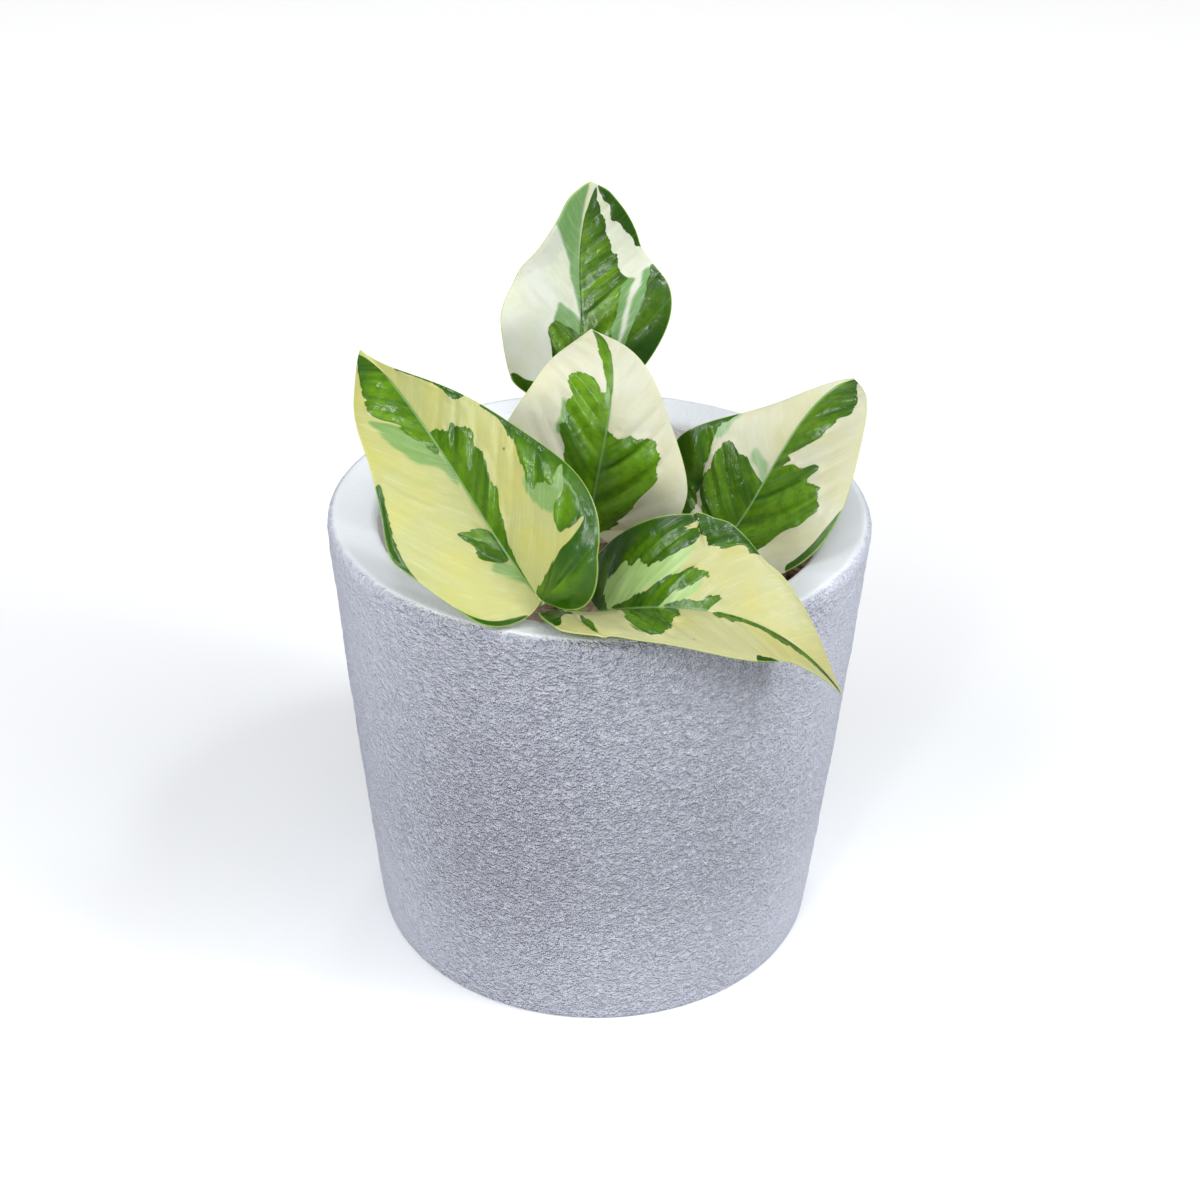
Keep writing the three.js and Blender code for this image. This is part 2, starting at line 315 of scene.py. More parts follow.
def addFloor():
    bpy.ops.mesh.primitive_plane_add(size=light["floorSize"], location=(0, 0, 0))
    floor = bpy.context.object
    floor.name = "floor"
    material, tree, shader = newMaterial("pale floor")
    # it throws less light back than it shows
    seen = put(tree, "ShaderNodeLightPath").outputs["Is Camera Ray"]
    lift = fade(tree, split(tree, objectPlace(tree))[1], 0, light["floorLiftTo"], 0, light["floorLift"])
    feedAll(tree, shader, {
        "Base Color": mixColours(tree, seen, light["floorBounce"], light["floorColour"]),
        "Emission Color": (1, 1, 1, 1),
        "Emission Strength": times(tree, seen, lift),
        "Roughness": 0.9,
        "Specular IOR Level": 0.0,
    })
    floor.data.materials.append(material)


addCamera(photoView)
addLight()
addFloor()
print("camera, light and floor: done")


# Planter

planter = {
    "height": 114,
    "rimRadius": 65,
    "baseRadius": 57,
    "bulge": 0.5,
    "rimWidth": 11.9,  # the band is a little wider and deeper than the solid's, as the photo shows it
    "rimDip": 2.78,
    "rimOuterRound": 3.0,
    "mouthRound": 2.0,
    "baseRound": 0.7,
    "floorThickness": 10,
    "innerBaseRadius": 48,
    "innerFloorRound": 6,
    "sides": 540,
    "wallCuts": 140,
    "textureTop": 110.5,  # the pebbling fades out between these heights
    "textureEnd": 113.2,
    "clouds": [("pebbles", 2.0, 0.6), ("dents", 9.0, 0.6)],  # texture, size and height in mm
}


def planterPiece():
    p = planter
    deselectAll()
    bpy.ops.mesh.primitive_cylinder_add(
        vertices=p["sides"], radius=p["rimRadius"] * mm, depth=p["height"] * mm,
        location=(0, 0, p["height"] / 2 * mm),
    )
    pot = bpy.context.object
    setPlace(pot, "planter")
    mesh = pot.data

    def select(chosen):
        bpy.ops.object.mode_set(mode="EDIT")
        bpy.ops.mesh.select_all(action="DESELECT")
        bpy.ops.object.mode_set(mode="OBJECT")
        chosen()
        bpy.ops.object.mode_set(mode="EDIT")

    def level(vertex):
        return mesh.vertices[vertex].co.z / mm

    def pickFace(height, upwards):
        for face in mesh.polygons:
            if abs(level(face.vertices[0]) - height) < 0.01 and abs(face.normal.z) > 0.9:
                face.select = (face.normal.z > 0) == upwards

    def pickEdges(height, radius):
        for edge in mesh.edges:
            ends = [mesh.vertices[v].co / mm for v in edge.vertices]
            atHeight = all(abs(end.z - height) < 0.01 for end in ends)
            atRadius = all(abs(math.hypot(end.x, end.y) - radius) < 0.05 for end in ends)
            edge.select |= atHeight and atRadius

    bpy.ops.object.mode_set(mode="EDIT")
    bpy.ops.mesh.select_mode(type="FACE")
    select(lambda: pickFace(0, False))  # taper the wall to the base
    share = p["baseRadius"] / p["rimRadius"]
    bpy.ops.transform.resize(value=(share, share, 1), center_override=(0, 0, 0))

    select(lambda: pickFace(p["height"], True))  # rim band, falling towards the mouth
    mouth = (p["rimRadius"] - p["rimWidth"]) / p["rimRadius"]
    bpy.ops.mesh.extrude_region_move(TRANSFORM_OT_translate={"value": (0, 0, -p["rimDip"] * mm)})
    bpy.ops.transform.resize(value=(mouth, mouth, 1), center_override=(0, 0, 0))
    mouthHeight = p["height"] - p["rimDip"]
    bpy.ops.mesh.extrude_region_move(  # inside wall down to the floor
        TRANSFORM_OT_translate={"value": (0, 0, (p["floorThickness"] - mouthHeight) * mm)})
    inner = p["innerBaseRadius"] / (p["rimRadius"] - p["rimWidth"])
    bpy.ops.transform.resize(value=(inner, inner, 1), center_override=(0, 0, 0))

    bpy.ops.mesh.select_mode(type="EDGE")
    rounds = [
        (p["height"], p["rimRadius"], p["rimOuterRound"], 9),
        (mouthHeight, p["rimRadius"] - p["rimWidth"], p["mouthRound"], 6),
        (p["floorThickness"], p["innerBaseRadius"], p["innerFloorRound"], 4),
        (0, p["baseRadius"], p["baseRound"], 4),
    ]
    for height, radius, size, segments in rounds:
        select(lambda: pickEdges(height, radius))
        bpy.ops.mesh.bevel(offset=size * mm, segments=segments, affect="EDGES")

    def pickUprights():  # the long edges of the outer wall
        for edge in mesh.edges:
            low, high = sorted((mesh.vertices[v].co for v in edge.vertices), key=lambda c: c.z)
            outside = math.hypot(low.x, low.y) > (p["baseRadius"] - 1) * mm
            edge.select = outside and high.z - low.z > 0.8 * p["height"] * mm

    select(pickUprights)
    bpy.ops.mesh.subdivide(number_cuts=p["wallCuts"])
    bpy.ops.object.mode_set(mode="OBJECT")

    places = coordinates(pot)
    radius = np.hypot(places[:, 0], places[:, 1])
    height = places[:, 2] / (p["height"] * mm)
    taper = (p["baseRadius"] + (p["rimRadius"] - p["baseRadius"]) * height) * mm
    onWall = smoothStep(radius - taper, -1.0 * mm, -0.2 * mm)
    swell = 4 * p["bulge"] * mm * height * (1 - height) * onWall
    places[:, :2] *= (1 + swell / np.maximum(radius, mm))[:, None]
    moveVertices(pot, places)

    pebbled = onWall * (1 - smoothStep(places[:, 2] / mm, p["textureTop"], p["textureEnd"]))
    pebbled *= smoothStep(places[:, 2] / mm, 0.8, 3.0)
    addGroup(pot, "pebbled", pebbled)
    for name, size, strength in p["clouds"]:
        roughen(pot, "pebbled", name, size, strength, detail=1, basis="IMPROVED_PERLIN")
    pot.vertex_groups.clear()
    shadeSmooth(pot, 40)
    pot.data.materials.append(planterMaterial())
    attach(pot, "root")
    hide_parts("pot")


planterLook = {
    "wall": colour(230, 231, 243),
    "dimSidesAndBase": colour(216, 218, 231),  # darker, where the relief is soft; the wall's colour above is painted lighter where the relief is strong, to make up for its shade
    # painted shade in the relief's pits and painted highlight on its peaks
    "paintedPitShade": colour(162, 164, 182),
    "paintedPeakLight": colour(252, 252, 255),
    # painted glints: near-white specks that stand in for highlights on the bumps
    "paintedGlint": colour(250, 251, 255),
    "rim": colour(234, 237, 240),
    "wallTo": 0.6,  # the wall's colour gives way to the rim's this far in from the wall
    "rimFrom": 2.0,
    "ridgeLength": 1.9,
    "ridgeWidth": 1.15,
    "pebbleSize": 0.85,
    "ridgesFrom": 60,  # the ridges near the rim give way to rounder pebbles between these heights
    "ridgesTo": 108,
    "grainSize": 0.55,
    "grainShare": 0.42,
    "sideFrom": 25,  # the relief is softer towards the two sides
    "sideTo": 58,
    "sideDepth": 0.33,
    "lowFrom": 8,  # and near the base
    "lowTo": 50,
    "lowDepth": 0.5,
    "depth": 5.0,
    "rimRelief": 0.07,  # what is left of the relief on the rim
    "toneSpan": 0.18,  # painted shade in the pits and painted highlight on the peaks are full this far below and above the middle
    "pitShadeShare": 0.5,
    "peakLightShare": 0.6,
}


def planterRelief(tree, where, height):
    look = planterLook
    upright = stretched(tree, where, (1, 1, look["ridgeLength"] / look["ridgeWidth"]))
    ridges = noise(tree, upright, 1000 / look["ridgeLength"], 2, 0.55, 0.3)
    cells = put(tree, "ShaderNodeTexVoronoi", {"Vector": where, "Scale": 1000 / look["pebbleSize"]})
    domes = fade(tree, cells.outputs["Distance"], 0.1, 0.5, 0.3, 0)
    pebbles = timesPlus(tree, noise(tree, where, 700, 2), 0.7, domes)
    grain = noise(tree, where, 1000 / look["grainSize"], 2, 0.6)
    ridged = fade(tree, height, look["ridgesFrom"], look["ridgesTo"], 0.1, 0.55)
    coarse = timesPlus(tree, maths(tree, "SUBTRACT", ridges, pebbles), ridged, pebbles)
    return timesPlus(tree, grain, look["grainShare"], coarse), grain


def planterMaterial():
    look = planterLook
    material, tree, shader = newMaterial("pebbled planter")
    where = objectPlace(tree)
    x, y, z = split(tree, where)
    height = maths(tree, "DIVIDE", z, mm)
    radius = maths(tree, "SQRT", timesPlus(tree, x, x, times(tree, y, y)))
    taper = (planter["rimRadius"] - planter["baseRadius"]) / planter["height"]
    inwards = maths(tree, "SUBTRACT", timesPlus(tree, height, taper, planter["baseRadius"]),
                    maths(tree, "DIVIDE", radius, mm))
    ragged = maths(tree, "SUBTRACT", noise(tree, where, 300, 4), 0.5)
    inwards = timesPlus(tree, ragged, 1.2, inwards)
    wall = fade(tree, inwards, look["wallTo"], look["rimFrom"], 1, 0)

    relief, grain = planterRelief(tree, where, height)
    sideways = maths(tree, "ABSOLUTE", x)
    soft = times(tree, fade(tree, sideways, look["sideFrom"] * mm, look["sideTo"] * mm, 1, look["sideDepth"]),
                 fade(tree, height, look["lowFrom"], look["lowTo"], look["lowDepth"], 1))
    middle = 0.5 * (1 + look["grainShare"])
    # pits get painted shade and peaks a painted highlight, less so where the relief is soft
    low = fade(tree, relief, middle - look["toneSpan"], middle, look["pitShadeShare"], 0)
    high = fade(tree, relief, middle, middle + look["toneSpan"], 0, look["peakLightShare"])
    # painted light: the wall is lighter where its relief is strong, making up for the shade its bumps cast,
    # and dimmer at the sides and base
    tone = layer(tree, look["dimSidesAndBase"], look["wall"], soft, 0.3, 1.0)
    tone = mixColours(tree, times(tree, low, soft), tone, look["paintedPitShade"])
    tone = mixColours(tree, times(tree, high, soft), tone, look["paintedPeakLight"])
    # painted glints, scattered as rare specks
    tone = mixColours(tree, specks(tree, where, 850, 0.12, 0.26, 0.92), tone, look["paintedGlint"])
    feed(tree, shader, "Base Color", mixColours(tree, wall, look["rim"], tone))
    feed(tree, shader, "Roughness", fade(tree, grain, 0.35, 0.65, 0.6, 0.36))
    feed(tree, shader, "Specular IOR Level", 0.5)
    rough = times(tree, maths(tree, "SUBTRACT", relief, middle), soft)
    left = look["rimRelief"]
    rough = times(tree, rough, timesPlus(tree, wall, 1 - left, left))
    addBump(tree, shader, rough, look["depth"])
    return material


planterPiece()
print("planter: done")


# Leaf blades

blade = {
    "thickness": 0.7,  # in the middle, as in the solid
    "edgeThickness": 0.34,
    "along": 216,
    "across": 108,
    "foldRound": 0.8,  # the crease at the midrib is rounded over this
    "grooveDepth": 0.3,
    "grooveWidth": 0.45,
    "ribDepth": 0.6,
    "ribWidth": 0.9,
    "veinLean": 0.8,  # side veins: mm towards the tip for each mm outwards
    "veinCurve": 0.02,
    "lobeVeins": 11.5,
    "veinSpacing": 7.2,
    "halfPucker": 0.16,
    "wrinkle": 0.16,
    "wrinkleSize": 2.4,
    "roll": 0.25,  # the margins roll down by this
    "lobeReach": 1.6,
    "lobeSpread": 0.45,
    "flankReach": 0.35,
    "flankPull": 0.8,
    "edgeTaper": 4,
    "patchOverRib": 0.25,  # patches of one half reach this far over the midrib
}

# Sage patches are partly the leaf's own grey-green and partly a painted sheen where the blade catches the
# light.
# Midribs, facings and halves are the part's. Patches are outlines in mm: along the midrib from the
# stalk, and out to the right of it (left is negative). Green lies over sage, and sage over cream.
# Each of "wider" and "rolls" is a place and a width, as shares of the length, and a size in mm.
# A crease runs from one point to another, with the step behind it, the height and width of its crest.
leaves = {}
leaves["leaf_left"] = {
    "midrib": [[-12, -53.5, 117], [-24, -47, 129.5], [-38.5, -30, 152], [-53, -13.5, 156.5]],
    "facing": (6, 15, -8),
    "left": {"lobe": 2.5, "widest": 0.34, "half": 20.5, "shoulder": 0.13, "point": 0.09, "tipWidth": 0.5,
             "fold": (36, 21), "curl": 0.3, "ripple": (1, 2.9, -0.1), "wave": (1, 2, 0),
             "wider": [(0.41, 0.07, 2.6), (0.31, 0.04, 0.6)],
             "rolls": [(0.46, 0.12, 1.6), (0.14, 0.08, 1.1)]},
    "right": {"lobe": 9.5, "widest": 0.24, "half": 24, "shoulder": 0.26, "point": 0.25, "tipWidth": 0,
              "fold": (43, 17), "curl": -1.2, "ripple": (1.1, 2.2, 0.5), "wave": (0.6, 2.4, 0.25),
              "rolls": [(0.5, 0.22, 1.1)]},
    "cream": (181, 182, 119), "warm": (188, 185, 106), "green": (92, 138, 4), "deep": (44, 86, 8),
    "sage": (130, 162, 92),
    "pucker": 0.9, "teeth": 0.9, "dark": 6, "ribTo": 60,
    "greens": [
        [(69.5, -1), (55, 0.5), (48.5, 0.5), (42, 0.3), (39, -1), (43.5, -3.5), (48, -5), (51, -7.5),
         (54, -8.5), (57.5, -7.5), (62.5, -5.5), (66.5, -3.5)],
        [(43, 0), (43.5, 1.5), (42.5, 3.5), (41, 3.8), (42, 6), (40.5, 7.3), (37.5, 9), (35.5, 8),
         (32.5, 8.5), (29.5, 7.5), (25.5, 7), (22, 5), (16.5, 3), (12, 1.3), (6.5, 0.5), (2, 0), (7, -0.5),
         (20.5, -0.5), (35, -0.5)],
        [(22.5, -7), (22, -4), (20, -0.5), (12.5, -0.5), (14.5, -4), (16, -5.5), (19, -6)],
        [(41.5, 13.5), (36, 15.5), (27.5, 15), (24.5, 14.5), (21.5, 14), (21.5, 17), (19.5, 18.5),
         (21.5, 20.5), (22, 22.5), (17.5, 20), (16, 17), (13, 15), (10, 15), (10, 18.5), (10.5, 21),
         (9.5, 21), (7.5, 16.5), (7, 12), (5.5, 8.5), (4, 5), (2, 0), (-3, 2), (-8, 7), (-9, 14), (-2, 23),
         (7.5, 29), (20, 29), (35, 22)],
        [(59.5, 2.5), (53, 6), (49.5, 8), (46, 9), (44.5, 10.5), (46.5, 14), (52, 11), (57, 7)],
        [(38.5, -16.3), (34.5, -17.2), (30.5, -19), (26, -20.6), (21.5, -21.4), (17.5, -20.9), (14.5, -20.7),
         (16, -25), (33, -25)],
        [(10.5, -17.8), (7.5, -15.6), (4.7, -13.2), (2.5, -10.4), (1, -7.4), (-1, -4.5), (-5, -8), (-3, -15),
         (4, -20)],
    ],
    "sageAndSheenPatches": [
        [(52, -9.5), (47.5, -4), (42, -1.5), (35, 0), (31.5, -1), (36, -2.5), (39, -6.5), (43, -8), (47, -9)],
        [(13.5, -4), (13, -2), (11, -0.5), (5.5, 0), (8, -2), (10, -3.5), (12, -5)],
        [(24, 13.5), (19.5, 13), (15, 15.5), (17, 19), (18, 22), (23.5, 24), (25, 18)],
    ],
}
leaves["leaf_front"] = {
    "midrib": [[0.5, -47, 110], [11.5, -59, 118.5], [34, -65.5, 128], [53, -56, 95.5]],
    "facing": (-4, 73, -7),
    "left": {"lobe": 9, "widest": 0.39, "half": 20, "shoulder": 0.19, "point": 0.17, "tipWidth": 0.35,
             "fold": (53, 11), "curl": -0.1, "ripple": (0.4, 2, 0.05), "wave": (0.5, 2.5, 0.1),
             "wider": [(0.58, 0.03, 0.6), (0.68, 0.04, -1.1)]},
    "right": {"lobe": 12, "widest": 0.31, "half": 19, "shoulder": 0.28, "point": 0.24, "tipWidth": 0.35,
              "fold": (33, 12), "curl": -0.2, "ripple": (1.7, 2.6, 0.4), "wave": (0.4, 2.3, 0.65),
              "wider": [(0.36, 0.03, 1.0), (0.45, 0.03, -0.9), (0.81, 0.05, -1.0)]},
    "creases": [((5.3, 10.7), (16.5, 17.8), 0, -0.7, 0.6), ((27, -20.5), (29.5, -14), 0.6, 0.3, 0.5)],
    "cream": (186, 185, 134), "warm": (190, 186, 118), "green": (78, 122, 6), "deep": (34, 74, 6),
    "sage": (176, 204, 128),
    "pucker": 0.8, "teeth": 1.0, "dark": 6, "ribTo": 33,
    "greens": [
        [(5, 5), (-6, 0), (-8, -10), (-1.5, -17), (9.5, -22), (19.5, -23), (27, -22), (28.5, -19.5),
         (24.5, -16.5), (27.5, -17), (28.5, -14.5), (27.5, -12.5), (22, -10.5), (16.5, -9), (14.5, -10),
         (12, -9), (10, -10), (8, -9), (4, -6.5), (2, -4)],
        [(5, -0.5), (11, -2), (14.5, -3), (18.5, -5), (22, -6.5), (27, -8), (29, -8.5), (31, -8), (31.5, -7),
         (30, -6.5), (27, -4.5), (24.5, -3), (22, -1.5), (18, 0.5), (10.5, 0.5)],
        [(21.5, -0.5), (28, -2), (31, -2), (32, -3), (36, -3), (33.5, -1), (31.5, 0.5), (24, 0.5)],
        [(9, 0.5), (15, 6), (18, 10.5), (21, 13.5), (24, 15), (26.5, 14), (27.5, 10), (26.5, 8), (27.5, 6.5),
         (27, 3.5), (25, 0.5), (18, 0)],
        [(34, 0.2), (35.2, 2.6), (37, 2.2), (38.5, 3), (39.7, 1.7), (43.5, 1.3), (47, 1.5), (50, 2.3),
         (54, 1.8), (58.5, 1.5), (64, 0.9), (67, 0.2), (64, -0.5), (55.5, -0.5), (48.5, -1), (47, -1.5),
         (45.5, -0.5), (38.5, -0.5)],
        [(28, -18.5), (28.5, -16), (29.5, -14), (33.5, -13.5), (37.5, -15), (39, -14.5), (42, -16), (39, -21),
         (31, -23)],
        [(5.5, 9.7), (9, 11.6), (12.5, 14.2), (15.4, 17.4), (14.4, 17.5), (11, 14.9), (7.5, 12)],
        [(-3, 8), (1, 9.5), (3.5, 10.2), (4.6, 11.5), (5.2, 13.5), (6.3, 15.5), (7.8, 17.5), (8.3, 19.5),
         (5, 23), (-6, 22), (-9, 13)],
        [(44, 12), (48, 10), (52, 7.8), (56, 5.1), (58, 6), (52, 11), (45, 14)],
    ],
    "sageAndSheenPatches": [
        [(10, -12), (14.5, -12), (22, -12), (28, -14.5), (28, -12.5), (25, -9), (24, -6.5), (21, -5),
         (18, -4), (15, -3), (5, 0), (0, 0.5), (1, -5), (4, -8)],
        [(20, 0), (22, -2), (26, -5), (30, -6), (29.5, -3.5), (27, -2), (25.5, -0.5)],
    ],
}
leaves["leaf_centre"] = {
    "midrib": [[-2, -11, 111.5], [-2, -11.5, 130], [7.5, -12, 150], [-2.5, 6.5, 154]],
    "facing": (11, 34, -1),
    "left": {"lobe": 5, "widest": 0.35, "half": 26, "shoulder": 0.26, "point": 0.11, "tipWidth": 0.5,
             "fold": (22, 23), "curl": -0.1, "ripple": (0.8, 2.2, 0.3), "wave": (0.8, 2, 0.05)},
    "right": {"lobe": 6.5, "widest": 0.27, "half": 21, "shoulder": 0.18, "point": 0.21, "tipWidth": 0.25,
              "fold": (22, 22), "curl": -0.3, "ripple": (0.7, 2.1, 0.3), "wave": (1, 2.4, 0.35),
              "wider": [(0.5, 0.3, -0.5)]},
    "cream": (206, 205, 181), "warm": (206, 203, 171), "green": (104, 150, 20), "deep": (56, 100, 12),
    "sage": (120, 160, 90),
    "pucker": 1.1, "teeth": 0.75, "dark": 5, "ribTo": 31,
    "greens": [
        [(51, 0), (46, 0.3), (34, 0.3), (31, 0), (32, -1.2), (36, -1.4), (38.5, -1.6), (43.5, -1.8),
         (47.5, -0.9)],
        [(51, -0.2), (48, 1.0), (43.5, 1.1), (38, 0.7), (33, 0.4), (33, -0.4), (44, -0.4)],
        [(37.5, -9.5), (36, -11), (33.5, -11), (31.5, -10.5), (29.5, -11.5), (27, -11), (26, -11.5),
         (25.5, -12.5), (23, -11.5), (20, -10), (17, -9.5), (13.5, -8), (8, -7), (3, -8), (1, -3), (3, 0.5),
         (14.5, 0.5), (30, 0.5), (33, 0), (33, -2.5), (35, -3.5), (37, -5)],
        [(22, -0.5), (23.5, 1), (23, 2.5), (23, 4.5), (24, 6), (23.5, 7.5), (24.5, 10), (24, 11.5),
         (22.5, 12), (21, 13.5), (19.5, 13), (16.5, 13.5), (14, 12.5), (9.5, 10), (6, 8.5), (2.5, 6),
         (0, 3.5), (1, -0.5)],
    ],
    "sageAndSheenPatches": [[(31, -12.5), (29.5, -12.5), (26, -13), (23, -12.5), (24, -10), (28, -9)]],
}
leaves["leaf_right"] = {
    "midrib": [[29, -12.5, 109], [38.5, -8.5, 117.5], [43.5, -6.5, 143], [59, 7, 142.5]],
    "facing": (-18, 52, 1),
    "left": {"lobe": 5, "widest": 0.31, "half": 22, "shoulder": 0.17, "point": 0.37, "tipWidth": 0.15,
             "fold": (23, 19), "curl": -0.3, "ripple": (0.7, 2, 0.25), "wave": (1, 2.2, 0.1)},
    "right": {"lobe": 5.5, "widest": 0.39, "half": 22, "shoulder": 0.26, "point": 0.05, "tipWidth": 0.5,
              "fold": (25, 20), "curl": -0.6, "ripple": (0.5, 2.1, 0.35), "wave": (0.8, 2.3, 0.3),
              "wider": [(0.4, 0.12, 0.7), (0.25, 0.08, 0.6)]},
    "creases": [((9.2, -12), (21.8, -14.8), -0.9, 0.5, 0.5)],
    "cream": (200, 199, 172), "warm": (199, 196, 156), "green": (92, 136, 18), "deep": (46, 86, 14),
    "sage": (156, 184, 140),
    "pucker": 0.8, "teeth": 0.6, "dark": 5, "ribTo": 60,
    "greens": [
        [(52, 1), (49, 3.5), (45, 8), (42.5, 9.5), (40.5, 9.5), (39, 8), (37, 8), (33, 7), (30, 5), (28, 3.5),
         (26.5, 2.5), (26, 4), (24.5, 3), (20, 3), (20, -0.3), (32, -0.3), (46.5, -0.3)],
        [(22, 0), (24.5, 3), (26, 5.5), (25.5, 7), (27.5, 9.5), (28, 10.5), (27.5, 12), (25, 11), (24, 11.5),
         (24.5, 14.5), (23.5, 15), (22.5, 15.5), (20.5, 17.5), (18, 16.5), (15.5, 15.5), (13.5, 13.5),
         (10, 11.5), (7, 10.5), (2, 9), (-2, 4), (2, 0), (14, -0.5)],
        [(23, -11), (22, -12.5), (19.5, -13), (17, -13), (15.5, -12.5), (13.5, -13), (11, -12.5), (7, -11),
         (3.5, -8.5), (0, -4), (2, 0.5), (14, 0.5), (18, 0), (20, -3.5), (21.5, -6), (22, -8), (22.5, -9)],
        [(29, -13.5), (26.5, -14), (25, -15.2), (22, -14.9), (17.5, -14.2), (14.5, -13.8), (7.5, -11.8),
         (-0.5, -10), (-6, -12.5), (-2, -22), (8, -27), (19, -27), (27, -20)],
        [(24, 22.6), (19, 21.6), (15, 21.0), (12, 20.4), (9.5, 19.6), (7, 18.6), (6, 20), (10, 24), (18, 25),
         (24, 25)],
    ],
    "sageAndSheenPatches": [
        [(23.5, -6), (24.5, -5), (23.5, -3), (23, -1.5), (21, -0.5), (18.5, -0.5), (20.5, -2.5), (21.5, -5)],
        [(29, -12.5), (26, -13), (23.5, -13.5), (22, -14.5), (23, -17), (28, -16)],
    ],
}
leaves["leaf_back"] = {
    "midrib": [[-6.5, 20.5, 135], [-3, 25, 159.5], [-9, 30, 155], [-3.5, 33, 181]],
    "facing": (21, 21, -8),
    "left": {"lobe": 7.5, "widest": 0.27, "half": 23, "shoulder": 0.19, "point": 0.03, "tipWidth": 0.3,
             "fold": (21, 22), "curl": -0.1, "ripple": (0.7, 2, 0.2), "wave": (1, 2.5, 0.2),
             "wider": [(0.17, 0.08, -4), (0.68, 0.05, 1.0), (0.93, 0.04, 1.0)]},
    "right": {"lobe": 3, "widest": 0.33, "half": 21, "shoulder": 0.31, "point": 0.03, "tipWidth": 0.7,
              "fold": (23, 17), "curl": -0.3, "ripple": (0.8, 2.1, 0.25), "wave": (0.9, 2.2, 0.3),
              "wider": [(0.72, 0.05, -0.5), (0.95, 0.03, 0.7)]},
    "cream": (208, 210, 196), "warm": (203, 206, 180), "green": (100, 142, 26), "deep": (34, 72, 6),
    "sage": (108, 150, 88),
    # its wide dark reach paints shade along its margins, where the back leaf lies in shade
    "pucker": 0.55, "teeth": 0.5, "dark": 14, "ribTo": 3,
    "greens": [
        [(47.5, 1.5), (45.5, 2.5), (43, 4.5), (41, 5.5), (38.5, 6.5), (34.5, 8), (34, 9), (29.5, 9.5),
         (26.5, 10.5), (25.5, 12), (24, 11), (21.5, 9.5), (15, 8.5), (10.5, 7.5), (2, 7), (-1, 3), (2, 0),
         (17, -0.3), (39.5, 0), (44, 0.5)],
        [(48, 2), (46, 3.5), (45, 5.5), (42.5, 6.5), (42, 8.5), (40.5, 10.5), (39, 12.5), (37, 13.5),
         (38, 16), (43, 14), (47.5, 7)],
        [(31, 18), (27, 17), (23.5, 16), (18.5, 15), (13, 12.5), (8, 11), (1, 9), (-3, 12), (-2, 20), (6, 24),
         (15, 25), (26.5, 23)],
        [(10, -10), (11.5, -9.5), (13, -8), (11.5, -4.5), (9, -0.5), (3, 0.5), (-1, -3), (1, -7), (7, -8.5)],
        [(1.4, -19), (0.6, -14.5), (0, -11), (-2, -7), (-6, -6), (-9, -14), (-4, -21)],
    ],
    "sageAndSheenPatches": [
        [(48, -0.5), (47, -4.5), (44.5, -8), (41.5, -9.5), (40, -8), (36.5, -5.5), (32, -3.5), (27, -3),
         (20, -1.5), (15, -0.5), (20, 0), (39.5, -0.3), (42, -0.5), (45, -0.5)],
        [(25.5, 13), (22, 12), (17.5, 11), (13.5, 10), (8, 9), (8, 6), (18, 7), (25, 8)],
        [(30.5, 19), (29, 16), (26.5, 15), (23, 14.5), (17.5, 12), (12.5, 11), (4, 9), (4, 13), (18.5, 17),
         (27, 20)],
        [(13, -8.5), (15.5, -7.5), (18.5, -6.5), (17, -4.5), (15, -2), (12, 0), (9, 0.5), (7, -4), (10, -9)],
    ],
}


def bezier(points, t):
    a, b, c, d = np.asarray(points, float)
    t = np.asarray(t)[..., None]
    return (1 - t) ** 3 * a + 3 * (1 - t) ** 2 * t * b + 3 * (1 - t) * t**2 * c + t**3 * d


def bezierSlope(points, t):
    a, b, c, d = np.asarray(points, float)
    t = np.asarray(t)[..., None]
    return 3 * (1 - t) ** 2 * (b - a) + 6 * (1 - t) * t * (c - b) + 3 * t**2 * (d - c)


def unit(vectors):
    return vectors / np.linalg.norm(vectors, axis=-1, keepdims=True)


def midribLength(leaf):
    points = bezier(leaf["midrib"], np.linspace(0, 1, 400))
    return float(np.linalg.norm(np.diff(points, axis=0), axis=1).sum())


def edgeOf(half, length, s):  # flat outline of one half at shares s of its own length
    widest, wide = half["widest"] * length, half["half"]
    first = [(0, 0), (-blade["lobeReach"] * half["lobe"], blade["lobeSpread"] * wide),
             (blade["flankReach"] * widest - blade["flankPull"] * half["lobe"], wide), (widest, wide)]
    second = [(widest, wide), (widest + half["shoulder"] * length, wide),
              (length * (1 - half["point"]), half["tipWidth"] * wide), (length, 0)]
    t = np.linspace(0, 1, 300)
    points = np.concatenate([bezier(first, t), bezier(second, t)[1:]])
    run = np.r_[0, np.cumsum(np.hypot(*np.diff(points, axis=0).T))]
    share = run / run[-1]
    return np.interp(s, share, points[:, 0]), np.interp(s, share, points[:, 1])


def swing(values, s):
    size, count, phase = values
    return size * np.sin(2 * np.pi * (count * s + phase))


def axesAt(leaf, t):
    azimuth, elevation, twist = (math.radians(a) for a in leaf["facing"])
    facing = np.array([math.cos(elevation) * math.sin(azimuth), -math.cos(elevation) * math.cos(azimuth),
                       math.sin(elevation)])
    along = unit(bezierSlope(leaf["midrib"], t))
    across = unit(np.cross(along, facing))
    up = np.cross(across, along)
    turn = (twist * (np.asarray(t) - 0.5))[..., None]
    return along, across * np.cos(turn) + up * np.sin(turn), up * np.cos(turn) - across * np.sin(turn)


def veinRun(x, y):  # where the side vein at a point leaves the midrib, in mm from the stalk
    out = np.abs(y)
    lean = blade["veinLean"] * out + blade["veinCurve"] * out**2
    fan = np.arctan2(out, lean) - np.arctan2(out, x)  # side veins of the lobes fan out from the stalk
    return np.where(x > lean, x - lean, blade["lobeVeins"] * np.minimum(fan, 0))


